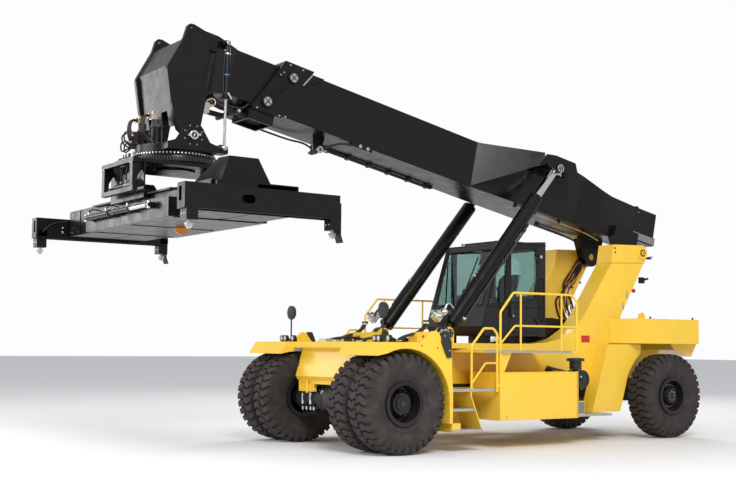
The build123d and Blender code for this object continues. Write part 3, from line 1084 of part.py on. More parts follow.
def build_spreader():
    tubes = block((-TUBE_OUTER, TUBE_OUTER), (-TUBE_HALF, TUBE_HALF), (TUBE_BOTTOM, TUBE_TOP))
    cavities = [
        block((low, high), (-TUBE_HALF - 10, TUBE_HALF + 10), (TUBE_BOTTOM + TUBE_WALL, TUBE_TOP - TUBE_WALL))
        for low, high in ((-TUBE_OUTER + TUBE_WALL, -TUBE_INNER / 2), (TUBE_INNER / 2, TUBE_OUTER - TUBE_WALL))
    ]
    guard = block((-800, 820), (-1600, 1600), (-1395, -1110))
    guard_void = block((-TUBE_OUTER + 5, TUBE_OUTER - 5), (-1700, 1700), (TUBE_BOTTOM + 5, 0))
    plan_low = [(-690, 2000), (224, 2000), (500, 1565), (-690, 1565)]
    plan_high = [(-420, 1995), (58, 1995), (90, 1720), (-420, 1720)]
    sections = [make_face(Polyline([(x, y, z) for x, y in plan], close=True))
                for plan, z in ((plan_low, TUBE_TOP - 1), (plan_high, -490))]
    peak = Part() + loft(sections, ruled=True)
    rod = y_bar(900, (-1398, 1137), -1190, 32)
    brackets = [block((800, 935), (y - 30, y + 30), (-1235, -1145)) for y in (-1300, -200, 1050)]
    rails = [
        block((TUBE_OUTER - 20, RAIL_REACH), (-1500, 1500), (TUBE_TOP - RAIL_PLATE, TUBE_TOP)),
        block((-RAIL_REACH, -TUBE_OUTER + 20), (-1500, 1500), (TUBE_TOP - RAIL_PLATE, TUBE_TOP)),
    ]
    whole = join(tubes, guard - guard_void, rod, *brackets, *rails, *pair(peak))
    for cavity in cavities:
        whole = whole - cavity
    pads = []
    play = BEAM_PLAY - SEAT_GAP
    for x in (-(TUBE_OUTER - TUBE_WALL + TUBE_INNER / 2) / 2, (TUBE_OUTER - TUBE_WALL + TUBE_INNER / 2) / 2):
        for low, high in ((TUBE_BOTTOM + TUBE_WALL - 1, TUBE_BOTTOM + TUBE_WALL + play),
                          (TUBE_TOP - TUBE_WALL - play, TUBE_TOP - TUBE_WALL + 1)):
            mouth = 1 if x > 0 else -1
            near, far = sorted((mouth * (TUBE_HALF - 250), mouth * TUBE_HALF))
            pads.append(block((x - 200, x + 200), (near, far), (low, high)))
    save("spreader_frame", HEAD_AXES * join(whole, *pads))

    save("end_beam_left", HEAD_AXES * end_beam(1))
    save("end_beam_right", HEAD_AXES * mirror(end_beam(-1), about=Plane.XZ))

    for name, x, y in (
        ("front_left", 1, 1), ("rear_left", -1, 1), ("front_right", 1, -1), ("rear_right", -1, -1)
    ):
        spot = Pos(x * LOCK_SPACING_X / 2, y * LOCK_SPACING_Y / 2, 0)
        shaft = bar((0, 0, LOCK_PLANE - 40), (0, 0, END_BOTTOM + 80), LOCK_PIN_RADIUS)
        cone = side_prism([(-50, -35), (50, -35), (50, -60), (18, -112), (-18, -112), (-50, -60)], (-28, 28))
        top = Pos(0, 0, END_BOTTOM + 90) * Cylinder(LOCK_CAP_RADIUS, 25)
        save(f"twistlock_{name}", HEAD_AXES * (spot * join(shaft, Pos(0, 0, LOCK_PLANE) * cone, top)))


build_wheels()
build_axles()
build_frame()
build_fenders()
build_towers()
build_counterweight()
build_side_boxes()
build_tanks()
build_steps()
build_handrails()
build_power_unit()
build_cab()
build_lights_and_mirrors()
build_outer_boom()
build_inner_boom()
build_lift_cylinders()
build_yoke()
build_carriage()
build_spreader()
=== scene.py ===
"""Looks of the reach stacker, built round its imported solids. Metres, +X forward, +Y left, +Z up."""
import json
import math

import bmesh
import bpy
from mathutils import Matrix, Vector


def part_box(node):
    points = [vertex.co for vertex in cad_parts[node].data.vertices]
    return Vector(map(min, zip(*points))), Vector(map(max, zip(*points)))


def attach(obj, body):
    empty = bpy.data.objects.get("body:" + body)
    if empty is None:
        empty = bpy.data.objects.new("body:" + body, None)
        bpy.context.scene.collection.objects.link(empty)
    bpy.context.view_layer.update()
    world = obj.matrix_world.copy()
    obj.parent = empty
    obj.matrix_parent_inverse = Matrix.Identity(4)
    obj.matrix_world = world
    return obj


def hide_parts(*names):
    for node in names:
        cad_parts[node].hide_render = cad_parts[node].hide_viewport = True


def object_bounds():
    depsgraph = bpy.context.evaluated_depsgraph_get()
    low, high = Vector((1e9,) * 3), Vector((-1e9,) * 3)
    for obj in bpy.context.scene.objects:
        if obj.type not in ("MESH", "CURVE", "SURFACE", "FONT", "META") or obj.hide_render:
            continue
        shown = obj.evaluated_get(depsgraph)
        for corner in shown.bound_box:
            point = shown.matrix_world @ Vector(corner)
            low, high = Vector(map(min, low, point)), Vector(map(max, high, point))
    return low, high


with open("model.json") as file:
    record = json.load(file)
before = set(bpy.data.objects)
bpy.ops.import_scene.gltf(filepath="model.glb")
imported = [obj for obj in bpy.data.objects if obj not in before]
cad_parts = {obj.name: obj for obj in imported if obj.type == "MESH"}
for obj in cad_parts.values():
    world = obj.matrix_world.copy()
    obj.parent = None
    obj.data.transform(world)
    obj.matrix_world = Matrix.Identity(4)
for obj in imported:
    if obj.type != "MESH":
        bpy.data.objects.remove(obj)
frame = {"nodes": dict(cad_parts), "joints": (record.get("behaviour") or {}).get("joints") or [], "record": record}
CAD_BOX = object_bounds()


def middle(node):
    low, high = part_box(node)
    return (low + high) / 2


DRIVE = middle("drive_rims_left")
AXLE_X = DRIVE.x


def at(x, y, z):
    """A point measured forward from the drive axle, from the middle plane and from the ground."""
    return Vector((AXLE_X + x, y, z))


# ---- camera, floor and light
CAMERA_PLACE = at(11.081, 17.263, 1.7245)
CAMERA_YAW = -2.19491
CAMERA_PITCH = 0.066963
CAMERA_ROLL = 0.008936
FOCAL_SHARE = 1.60579
SENSOR = 36.0
SHIFT = (-0.04327, 0.02987)


def make_camera():
    data = bpy.data.cameras.new("camera")
    data.sensor_width = SENSOR
    data.lens = SENSOR * FOCAL_SHARE
    data.shift_x, data.shift_y = SHIFT
    data.clip_start, data.clip_end = 0.1, 500
    camera = bpy.data.objects.new("camera", data)
    bpy.context.scene.collection.objects.link(camera)
    flat = math.cos(CAMERA_PITCH)
    forward = Vector((math.cos(CAMERA_YAW) * flat, math.sin(CAMERA_YAW) * flat, math.sin(CAMERA_PITCH)))
    right = forward.cross(Vector((0, 0, 1))).normalized()
    up = right.cross(forward)
    turn, side = math.cos(CAMERA_ROLL), math.sin(CAMERA_ROLL)
    right, up = turn * right + side * up, turn * up - side * right
    basis = Matrix((right, up, -forward)).transposed().to_4x4()
    camera.matrix_world = Matrix.Translation(CAMERA_PLACE) @ basis
    bpy.context.scene.camera = camera


def area_light(name, place, target, size, power):
    data = bpy.data.lights.new(name, "AREA")
    data.shape = "DISK"
    data.size = size
    data.energy = power
    lamp = bpy.data.objects.new(name, data)
    bpy.context.scene.collection.objects.link(lamp)
    lamp.location = place
    lamp.rotation_euler = (target - place).to_track_quat("-Z", "Y").to_euler()


LIGHT_SEEN_BY_MACHINE = 0.6


def make_stage():
    floor_data = bpy.data.meshes.new("floor")
    reach = 140
    floor_data.from_pydata([(-reach, -reach, 0), (reach, -reach, 0), (reach, reach, 0), (-reach, reach, 0)], [],
        [(0, 1, 2, 3)])
    floor = bpy.data.objects.new("floor", floor_data)
    bpy.context.scene.collection.objects.link(floor)
    floor.location.z = CAD_BOX[0].z - 0.002
    material = new_material("floor_paint", (0.86, 0.86, 0.87), 0.9)
    floor_data.materials.append(material)
    world = bpy.data.worlds.new("studio")
    bpy.context.scene.world = world
    world.use_nodes = True
    tree = world.node_tree
    back = tree.nodes["Background"]
    rays = node(tree, "LightPath").outputs
    seen = node(tree, "Math", {0: rays["Is Camera Ray"], 1: rays["Is Transmission Ray"]})
    seen.operation = "MAXIMUM"
    bright = node(tree, "Mix", {0: seen.outputs[0]})
    bright.inputs[2].default_value = LIGHT_SEEN_BY_MACHINE
    bright.inputs[3].default_value = 1.0
    tree.links.new(bright.outputs[0], back.inputs["Strength"])
    back.inputs["Color"].default_value = (0.97, 0.98, 1.0, 1)
    centre = Vector((0, 0, 2.5))
    area_light("key", Vector((9, 17, 15)), centre, 9, 3350)
    area_light("fill", Vector((17, -4, 8)), centre, 10, 1000)
    area_light("sheen", Vector((12.9, -16.1, 6.8)), Vector((5.0, 0, 5.4)), 6, 330)
    area_light("rim", Vector((-14, -12, 14)), centre, 9, 1200)
    bpy.context.scene.view_settings.view_transform = "Standard"


# ---- materials
def new_material(name, colour, roughness, metallic=0.0, **sockets):
    material = bpy.data.materials.new(name)
    material.use_nodes = True
    shader = material.node_tree.nodes["Principled BSDF"]
    shader.inputs["Base Color"].default_value = (*colour, 1)
    shader.inputs["Roughness"].default_value = roughness
    shader.inputs["Metallic"].default_value = metallic
    for socket, value in sockets.items():
        shader.inputs[socket.replace("_", " ")].default_value = value
    return material


def node(tree, kind, wired=None, **values):
    """A shader node: wired sockets take an output, the others a value."""
    made = tree.nodes.new("ShaderNode" + kind)
    for socket, output in (wired or {}).items():
        tree.links.new(output, made.inputs[socket])
    for socket, value in values.items():
        made.inputs[socket.replace("_", " ")].default_value = value
    return made


def own_space(tree):
    """A point in the object's own space, in metres."""
    return node(tree, "TexCoord").outputs["Object"]


def noise(material, scale, detail=4.0, stretch=(1, 1, 1)):
    tree = material.node_tree
    mapping = node(tree, "Mapping", {"Vector": own_space(tree)}, Scale=stretch)
    return node(tree, "TexNoise", {"Vector": mapping.outputs["Vector"]}, Scale=scale, Detail=detail).outputs["Fac"]


def ramp(material, value, stops):
    """A colour ramp from (position, colour) stops."""
    made = node(material.node_tree, "ValToRGB", {"Fac": value})
    while len(made.color_ramp.elements) < len(stops):
        made.color_ramp.elements.new(0.5)
    for element, (position, colour) in zip(made.color_ramp.elements, stops):
        element.position = position
        element.color = (*colour, 1)
    return made.outputs["Color"]


def to_shader(material, output, socket):
    shader = material.node_tree.nodes["Principled BSDF"]
    material.node_tree.links.new(output, shader.inputs[socket])


def bump(material, value, height, strength=0.4):
    made = node(material.node_tree, "Bump", {"Height": value}, Distance=height, Strength=strength)
    to_shader(material, made.outputs["Normal"], "Normal")


def grey(level):
    return (level, level, level)


def tinted(colour, share):
    return tuple(channel * share for channel in colour)


DUST_TOP = 1.3


def paint(name, colour, roughness=0.35, spread=0.1, coat=0.25, dust=(0.35, 0.27, 0.17), gloss=0.5):
    """Sprayed paint: cloudy colour, orange peel, uneven gloss and a little dust low down."""
    material = new_material(name, colour, roughness, Coat_Weight=coat, Coat_Roughness=0.12, Specular_IOR_Level=gloss)
    tree = material.node_tree
    clouds = ramp(material, noise(material, 1.3), [(0.3, tinted(colour, 1 - spread)),
        (0.7, tinted(colour, 1 + spread / 2))])
    split = node(tree, "SeparateXYZ", {"Vector": own_space(tree)})
    low = node(tree, "MapRange", {"Value": split.outputs["Z"]}, From_Min=DUST_TOP, From_Max=0.2, To_Max=0.22)
    speck = node(tree, "Math", {0: low.outputs["Result"], 1: noise(material, 9.0)})
    speck.operation = "MULTIPLY"
    mix = node(tree, "Mix")
    mix.data_type = "RGBA"
    tree.links.new(speck.outputs[0], mix.inputs[0])
    tree.links.new(clouds, mix.inputs[6])
    mix.inputs[7].default_value = (*dust, 1)
    to_shader(material, mix.outputs[2], "Base Color")
    uneven = ramp(material, noise(material, 5.0), [(0.3, grey(roughness - 0.06)), (0.75, grey(roughness + 0.09))])
    to_shader(material, uneven, "Roughness")
    bump(material, noise(material, 260.0, 2), 0.0006, 0.25)
    return material


def metal(name, colour, roughness, grain=(1, 1, 1), scale=40.0):
    """Machined or cast metal with an uneven polish."""
    material = new_material(name, colour, roughness, 1.0)
    tone = ramp(material, noise(material, scale / 4, 3, grain), [(0.3, tinted(colour, 0.85)), (0.7, colour)])
    to_shader(material, tone, "Base Color")
    low = max(roughness - 0.06, 0.03)
    gloss = ramp(material, noise(material, scale, 3, grain), [(0.3, grey(low)), (0.75, grey(roughness + 0.12))])
    to_shader(material, gloss, "Roughness")
    return material


def rubber(name, colour, roughness=0.85, dust=0.35):
    """Rubber with bloom and road dust in cloudy patches."""
    material = new_material(name, colour, roughness, Specular_IOR_Level=0.35)
    dusty = tuple(channel * (1 - dust) + tone * dust for channel, tone in zip(colour, (0.16, 0.12, 0.1)))
    tone = ramp(material, noise(material, 6.0, 6), [(0.35, tinted(colour, 0.8)), (0.55, colour), (0.78, dusty)])
    to_shader(material, tone, "Base Color")
    bump(material, noise(material, 120.0, 5), 0.002, 0.35)
    return material


def plastic(name, colour, roughness=0.5, grain=350.0):
    """Moulded plastic with a fine pebble."""
    material = new_material(name, colour, roughness)
    tone = ramp(material, noise(material, 3.0), [(0.3, tinted(colour, 0.85)), (0.75, tinted(colour, 1.15))])
    to_shader(material, tone, "Base Color")
    bump(material, noise(material, grain, 2), 0.0008, 0.4)
    return material


def fabric(name, colour):
    """Woven seat cloth."""
    material = new_material(name, colour, 0.95, Sheen_Weight=0.3)
    tree = material.node_tree
    heights = []
    for direction in ("X", "Z"):
        wave = node(tree, "TexWave", {"Vector": own_space(tree)}, Scale=130)
        wave.bands_direction = direction
        heights.append(wave.outputs["Fac"])
    both = node(tree, "Math", dict(enumerate(heights)))
    both.operation = "MULTIPLY"
    tone = ramp(material, both.outputs[0], [(0.1, tinted(colour, 0.7)), (0.8, tinted(colour, 1.4))])
    to_shader(material, tone, "Base Color")
    bump(material, both.outputs[0], 0.0015, 0.5)
    return material


def glass_material():
    material = new_material("tinted_glass", (0.4, 0.54, 0.51), 0.02, IOR=1.45, Transmission_Weight=1.0)
    smear = ramp(material, noise(material, 4.0), [(0.4, grey(0.0)), (0.8, grey(0.03))])
    to_shader(material, smear, "Roughness")
    return material


def tread_plate():
    """Galvanised anti-slip plate with rows of punched studs."""
    material = metal("tread_plate", (0.62, 0.62, 0.6), 0.42)
    tree = material.node_tree
    studs = node(tree, "TexVoronoi", {"Vector": own_space(tree)}, Scale=26, Randomness=0.0)
    dome = ramp(material, studs.outputs["Distance"], [(0.12, grey(1.0)), (0.32, grey(0.0))])
    bump(material, dome, 0.004, 0.8)
    return material


YELLOW = (0.94, 0.6, 0.042)
# the black's slight brown tint is a painted reflection of a brownish floor
BLACK = (0.007, 0.0058, 0.0052)


DUSTY_BLACK = (0.08, 0.065, 0.055)
# name: colour, roughness, spread of the colour, coat, dust, gloss
PAINTS = {
    "yellow_paint": (YELLOW, 0.34, 0.06),
    "black_paint": (BLACK, 0.25, 0.06, 0.0, DUSTY_BLACK, 0.26),
    "cab_paint": ((0.016, 0.014, 0.0145), 0.3, 0.12, 0.0, (0.08, 0.07, 0.06), 0.35),
    "cast_steel": ((0.03, 0.028, 0.027), 0.55, 0.25, 0.0, (0.14, 0.11, 0.09)),
    "rim_paint": ((0.0095, 0.0085, 0.0082), 0.3, 0.2, 0.0, (0.1, 0.08, 0.07), 0.35),
    "red_paint": ((0.55, 0.012, 0.014), 0.35, 0.1),
    "orange_paint": ((0.85, 0.3, 0.03), 0.35, 0.1),
    "blue_paint": ((0.02, 0.16, 0.42), 0.4, 0.1),
    "pipe_paint": ((0.03, 0.028, 0.028), 0.16, 0.1, 0.3),
    "grey_panel": ((0.2, 0.195, 0.205), 0.35, 0.1, 0.1),
    # painted shade: dark brownish colour for the sheets on the spreader tubes' underside
    "brown_panel": ((0.03, 0.022, 0.018), 0.32, 0.15, 0.0),
    # yellow paint in shade: dark orange lines of painted shade in joints and at edges
    "seam_dark": ((0.22, 0.115, 0.01), 0.5, 0.1, 0.0),
}
# name: colour, roughness, stretch of the grain, its scale
METALS = {
    "chrome": ((0.8, 0.8, 0.82), 0.1, (1, 1, 1), 90.0),
    "zinc": ((0.62, 0.6, 0.56), 0.28),
    "brass": ((0.62, 0.44, 0.26), 0.3),
    "white_metal": ((0.86, 0.86, 0.85), 0.3),
    "mirror_glass": ((0.85, 0.87, 0.88), 0.05),
}
# name: colour, roughness, share of dust
RUBBERS = {
    "tyre": ((0.04, 0.032, 0.03), 0.75, 0.25),
    "hose": ((0.016, 0.015, 0.015), 0.55, 0.05),
    "seal": ((0.01, 0.01, 0.01), 0.7, 0.02),
    "brown_hose": ((0.045, 0.022, 0.016), 0.45, 0.05),
}
# name: colour, roughness, scale of the pebble
PLASTICS = {
    "dark_plastic": ((0.022, 0.021, 0.022),),
    "lamp": ((0.55, 0.56, 0.58), 0.12, 60.0),
    "orange_lens": ((0.8, 0.22, 0.01), 0.12, 90.0),
    "red_lens": ((0.5, 0.008, 0.008), 0.12, 90.0),
    "green_tag": ((0.03, 0.2, 0.08), 0.4, 200.0),
    "screen": ((0.02, 0.05, 0.06), 0.08, 30.0),
}


def make_materials():
    made = {"glass": glass_material(), "bright_steel": tread_plate()}
    made["seat_fabric"] = fabric("seat_fabric", (0.035, 0.035, 0.04))
    for recipe, table in ((paint, PAINTS), (metal, METALS), (rubber, RUBBERS), (plastic, PLASTICS)):
        for name, look in table.items():
            made[name] = recipe(name, *look)
    return made


# ---- shapes
def arc(centre, radius, start, end, steps):
    """Points (a, b) on an arc, angles in degrees."""
    turn = math.radians(end - start) / steps
    angles = [math.radians(start) + turn * step for step in range(steps + 1)]
    return [(centre[0] + radius * math.cos(a), centre[1] + radius * math.sin(a)) for a in angles]


def oblong(a0, a1, b0, b1):
    """The four corners of a rectangle."""
    return [(a0, b0), (a1, b0), (a1, b1), (a0, b1)]


def tip(degrees):
    """A turn about an axis across the machine."""
    return Matrix.Rotation(math.radians(degrees), 3, "Y")


UP, DOWN, AHEAD, BACK, OUT, IN = (0, 0, 1), (0, 0, -1), (1, 0, 0), (-1, 0, 0), (0, 1, 0), (0, -1, 0)


# faces of a block whose corners are numbered round one end, then round the other
BLOCK_FACES = [(0, 1, 2, 3), (4, 7, 6, 5), (0, 4, 5, 1), (1, 5, 6, 2), (2, 6, 7, 3), (3, 7, 4, 0)]


def band(low, high, count):
    """Faces between two rings of points, numbered from low and from high."""
    return [(low + i, low + (i + 1) % count, high + (i + 1) % count, high + i) for i in range(count)]


def caps(count, last):
    """The faces that close a row of rings, the last of which is numbered from last."""
    return [tuple(range(count - 1, -1, -1)), tuple(range(last, last + count))]


class Shape:
    """Many details gathered into one mesh, each face with its own material."""

    def __init__(self, side=1):
        self.verts, self.faces, self.slots = [], [], []
        self.side = side

    def sides(self):
        """Left, then right: what is drawn meanwhile has its y turned to that side."""
        for self.side in (1, -1):
            yield self.side
        self.side = 1

    def turned(self, point):
        return Vector((point[0], self.side * point[1], point[2]))

    def add(self, verts, faces, slot="black_paint"):
        first = len(self.verts)
        self.verts += [Vector(v) for v in verts]
        self.faces += [tuple(first + index for index in face) for face in faces]
        self.slots += [slot] * len(faces)
        return self

    def box(self, low, high, slot="black_paint", turn=None):
        """A block between two opposite corners, in any order."""
        low, high = zip(*(sorted(pair) for pair in zip(self.turned(low), self.turned(high))))
        corners = [Vector((x, y, z)) for x in (low[0], high[0]) for y in (low[1], high[1]) for z in (low[2], high[2])]
        if turn is not None:
            centre = (Vector(low) + Vector(high)) / 2
            corners = [centre + turn @ (corner - centre) for corner in corners]
        faces = [(0, 1, 3, 2), (4, 6, 7, 5), (0, 4, 5, 1), (2, 3, 7, 6), (0, 2, 6, 4), (1, 5, 7, 3)]
        return self.add(corners, faces, slot)

    def prism(self, outline, axis, low, high, slot="black_paint"):
        """An outline pushed along an axis. Its pairs are (x, z) along y, (x, y) along z and (y, z) along x."""
        if axis == "y":
            low, high = self.side * low, self.side * high
        low, high = sorted((low, high))
        place = {"x": lambda p, t: (t, p[0], p[1]), "y": lambda p, t: (p[0], t, p[1]), "z": lambda p,
            t: (p[0], p[1], t)}[axis]
        count = len(outline)
        verts = [place(p, low) for p in outline] + [place(p, high) for p in outline]
        return self.add(verts, band(0, count, count) + caps(count, count), slot)

    def rod(self, start, end, radius, slot="black_paint", sides=16):
        start, end = self.turned(start), self.turned(end)
        along = (end - start).normalized()
        across = along.orthogonal().normalized()
        up = along.cross(across)
        verts = []
        for centre in (start, end):
            for step in range(sides):
                angle = 2 * math.pi * (step + 0.5) / sides
                verts.append(centre + radius * (math.cos(angle) * across + math.sin(angle) * up))
        return self.add(verts, band(0, sides, sides) + caps(sides, sides), slot)

    def peg(self, start, axis, reach, *rest):
        """A rod along an axis, from a point to where that coordinate is reach."""
        end = list(start)
        end["xyz".index(axis)] = reach
        return self.rod(start, end, *rest)

    def bolt(self, place, direction, size, slot="zinc"):
        """A hexagon bolt head on its washer, flat to flat about 1.5 times its size."""
        place, direction = Vector(place), Vector(direction).normalized()
        self.rod(place, place + direction * size * 0.18, size * 1.05, slot, 14)
        return self.rod(place, place + direction * size * 0.75, size * 0.82, slot, 6)

    def tube(self, points, radius, slot="hose", sides=8, steps=5):
        """A hose or pipe along a smooth curve through points."""
        points = [self.turned(p) for p in points]
        path = []
        padded = [2 * points[0] - points[1], *points, 2 * points[-1] - points[-2]]
        for i in range(len(points) - 1):
            a, b, c, d = padded[i:i + 4]
            for step in range(steps):
                t = step / steps
                path.append(0.5 * (2 * b + (c - a) * t + (2 * a - 5 * b + 4 * c - d) * t * t
                    + (3 * b - a - 3 * c + d) * t ** 3))
        path.append(points[-1])
        verts, across = [], None
        for i, centre in enumerate(path):
            along = (path[min(i + 1, len(path) - 1)] - path[max(i - 1, 0)]).normalized()
            across = along.orthogonal() if across is None else across - along * across.dot(along)
            across = across.normalized()
            up = along.cross(across)
            for step in range(sides):
                angle = 2 * math.pi * step / sides
                verts.append(centre + radius * (math.cos(angle) * across + math.sin(angle) * up))
        faces = []
        for ring in range(len(path) - 1):
            faces += band(ring * sides, (ring + 1) * sides, sides)
        return self.add(verts, faces + caps(sides, len(verts) - sides), slot)

    def lathe(self, profile, centre, slot="black_paint", steps=48, axis="y"):
        """A closed profile of (along, radius) pairs turned about an axis through the centre."""
        centre = self.turned(centre)
        count, verts = len(profile), []
        for step in range(steps):
            angle = 2 * math.pi * step / steps
            a, b = math.cos(angle), math.sin(angle)
            for along, radius in profile:
                if axis == "y":
                    verts.append(centre + Vector((radius * a, self.side * along, radius * b)))
                elif axis == "z":
                    verts.append(centre + Vector((radius * a, radius * b, along)))
                else:
                    verts.append(centre + Vector((along, radius * a, radius * b)))
        faces = []
        for step in range(steps):
            faces += band(step * count, (step + 1) % steps * count, count)
        return self.add(verts, faces, slot)

    def merge(self, other, turn):
        """Another shape, moved by a matrix."""
        first = len(self.verts)
        self.verts += [turn @ vert for vert in other.verts]
        self.faces += [tuple(first + index for index in face) for face in other.faces]
        self.slots += other.slots
        return self

    def ring(self, outline, inner, axis, low, high, slot="black_paint"):
        """A frame between two outlines with as many points, pushed along an axis."""
        count = len(outline)
        for i in range(count):
            j = (i + 1) % count
            self.prism([outline[i], outline[j], inner[j], inner[i]], axis, low, high, slot)
        return self

    def bolts(self, places, direction, size, slot="zinc"):
        for place in places:
            self.bolt(place, direction, size, slot)
        return self

    def make(self, name, body, place=None, bevel=0.0, smooth=35, segments=1):
        """One object that rides on a body; place moves it from the axes it was drawn in."""
        data = bpy.data.meshes.new(name)
        place = Matrix.Identity(4) if place is None else place
        data.from_pydata([tuple(place @ v) for v in self.verts], [], self.faces)
        used = list(dict.fromkeys(self.slots))
        for material in used:
            data.materials.append(LOOK[material])
        data.polygons.foreach_set("material_index", [used.index(material) for material in self.slots])
        work = bmesh.new()
        work.from_mesh(data)
        bmesh.ops.recalc_face_normals(work, faces=work.faces)
        work.to_mesh(data)
        work.free()
        piece = bpy.data.objects.new(name, data)
        bpy.context.scene.collection.objects.link(piece)
        if bevel:
            soften = piece.modifiers.new("edges", "BEVEL")
            soften.width = bevel
            soften.segments = segments
            soften.limit_method = "ANGLE"
            soften.angle_limit = math.radians(35)
            soften.harden_normals = False
        shade(piece, smooth)
        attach(piece, body)
        return piece


def shade(piece, angle):
    """Smooth faces, with edges over the angle kept sharp."""
    data = piece.data
    data.polygons.foreach_set("use_smooth", [True] * len(data.polygons))
    work = bmesh.new()
    work.from_mesh(data)
    limit = math.radians(angle)
    for edge in work.edges:
        edge.smooth = len(edge.link_faces) == 2 and edge.calc_face_angle(0) < limit
    work.to_mesh(data)
    work.free()


# ---- tyres and rims
CARCASS_RADIUS = 0.768
BEAD_RADIUS = 0.32
TYRE_HALF = 0.25
LUGS = 34
# (distance from the tyre's middle plane, radius of the carcass there)
SIDEWALL = [(0.172, 0.32), (0.178, 0.355), (0.205, 0.4), (0.232, 0.47), (0.246, 0.55), (0.248, 0.61),
            (0.243, 0.665), (0.236, 0.7), (0.228, 0.735), (0.21, 0.757), (0.14, 0.766), (0.0, 0.768)]
# (distance from the middle plane, leading and trailing edge in pitches, radius of the lug's top)
LUG_ROWS = [(0.2475, 0.1, 0.56, 0.668), (0.25, 0.06, 0.6, 0.706), (0.244, 0.03, 0.63, 0.762),
            (0.218, 0.02, 0.66, 0.8), (0.165, 0.16, 0.84, 0.806), (0.105, 0.3, 1.02, 0.809),
            (0.055, 0.14, 0.92, 0.81), (0.012, 0.06, 0.8, 0.81)]


def tyre(shape, centre, turned):
    """A traction tyre: a smooth carcass with staggered, cranked lugs over both shoulders."""
    profile = [(-y, r) for y, r in SIDEWALL[:-1]] + [(y, r) for y, r in reversed(SIDEWALL)]
    bead = SIDEWALL[0][0]
    profile += [(bead - 0.02, BEAD_RADIUS), (-bead + 0.02, BEAD_RADIUS)]
    shape.lathe(profile, centre, "tyre", 108)
    pitch = 2 * math.pi / LUGS
    for side in (1, -1):
        for lug in range(LUGS):
            verts, faces = [], []
            for y, lead, trail, radius in LUG_ROWS:
                for share, depth in ((lead - 0.03, 0.0), (lead, 1.0), (trail, 1.0), (trail + 0.03, 0.0)):
                    angle = (lug + side * turned * share + (0.5 if side < 0 else 0.0)) * pitch
                    floor = min(radius - 0.03, CARCASS_RADIUS - 0.004)
                    reach = radius if depth else floor
                    verts.append(centre + Vector((reach * math.cos(angle), side * y, reach * math.sin(angle))))
            rows = len(LUG_ROWS)
            for row in range(rows - 1):
                first, second = row * 4, (row + 1) * 4
                faces += [(first + i, first + i + 1, second + i + 1, second + i) for i in range(3)]
                faces.append((first + 3, first, second, second + 3))
            faces += [(0, 3, 2, 1), (rows * 4 - 4, rows * 4 - 3, rows * 4 - 2, rows * 4 - 1)]
            shape.add(verts, faces, "tyre")


def sidewall_rings(shape, centre, face):
    """Raised rings and a rim guard on the side that faces out."""
    for radius, height in ((0.645, 0.004), (0.452, 0.005), (0.372, 0.01)):
        near = min(SIDEWALL, key=lambda row: abs(row[1] - radius))
        y = centre.y + face * (near[0] - 0.004)
        ring = [(0, radius - 0.01), (face * (height + 0.004), radius - 0.004),
            (face * (height + 0.004), radius + 0.004), (0, radius + 0.01)]
        shape.lathe(ring, (centre.x, y, centre.z), "tyre", 96)


def make_tyres():
    for side, name in ((1, "left"), (-1, "right")):
        low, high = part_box(f"drive_tyres_{name}")
        outer = Vector((DRIVE.x, side * (max(abs(low.y), abs(high.y)) - TYRE_HALF), DRIVE.z))
        inner = Vector((DRIVE.x, side * (min(abs(low.y), abs(high.y)) + TYRE_HALF), DRIVE.z))
        pair = Shape()
        for centre in (outer, inner):
            tyre(pair, centre, side)
            sidewall_rings(pair, centre, side)
        made = pair.make(f"treaded_drive_tyres_{name}", f"drive_wheels_{name}", None, 0.004, 40)
        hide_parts(f"drive_tyres_{name}")
        rear = Shape()
        centre = middle(f"steer_tyre_{name}")
        tyre(rear, centre, side)
        sidewall_rings(rear, centre, side)
        made = rear.make(f"treaded_steer_tyre_{name}", f"steer_wheel_{name}", None, 0.004, 40)
        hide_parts(f"steer_tyre_{name}")


# ---- frames of reference
def pin_of(joint):
    return Vector(next(j["pos_m"] for j in frame["joints"] if j["name"] == joint))


BOOM_LEAN = math.radians(11.54)
# CHASSIS: measured from the drive axle. BOOM: along, across and square to the boom, from its pin.
# HEAD: level, from the pin the yoke swings on.
CHASSIS = Matrix.Translation((AXLE_X, 0, 0))
BOOM = Matrix.Translation(pin_of("boom_lift")) @ Matrix.Rotation(-BOOM_LEAN, 4, "Y")
HEAD = Matrix.Translation(pin_of("yoke_swing"))
FOOT_X, WHEELBASE = -6.58, 6.75
LIFT_FOOT, LIFT_EYE, LIFT_Y = Vector((-1.62, 0, 1.96)), Vector((-4.25, 0, 5.09)), 0.98
SIDES = ((1, "left"), (-1, "right"))
# faces that details stand on
BOOM_UNDER, COLLAR_SIDE = 0.2372, 0.505  # BOOM axes
SHIFT_X, DAMPER_Y, TUBES_UNDER, COVERS_TOP = 0.845, 0.705, -1.3848, -0.95  # HEAD axes
DECK_TOP, CAB_SIDE, TANK_SIDE = 1.79, 0.815, 2.0795  # CHASSIS axes


def around(centre, radius, count, axis="y", start=0.0):
    """Points on a circle square to an axis."""
    centre, places = Vector(centre), []
    for step in range(count):
        a = math.radians(start) + 2 * math.pi * step / count
        u, v = radius * math.cos(a), radius * math.sin(a)
        places.append(centre + Vector({"x": (0, u, v), "y": (u, 0, v), "z": (u, v, 0)}[axis]))
    return places


def face_ring(shape, centre, inner, outer, height, slot, axis="y", way=1, steps=40):
    """A flat washer with small bevels, standing on a face."""
    rise = way * height
    step = min(height, 0.003)
    profile = [(0, inner), (rise, inner), (rise, outer - step), (rise - way * step, outer), (0, outer)]
    shape.lathe(profile, centre, slot, steps, axis)


# ---- wheels
def rim_studs(shape, side, y, radius, count, size):
    """A ring of studs with their nuts on a wheel's web, local to the wheel."""
    for place in around((0, side * y, 0), radius, count):
        out = Vector((0, side, 0))
        shape.rod(place, place + out * 0.044, size * 0.55, "zinc", 10)
        shape.rod(place, place + out * 0.024, size, "cast_steel", 6)


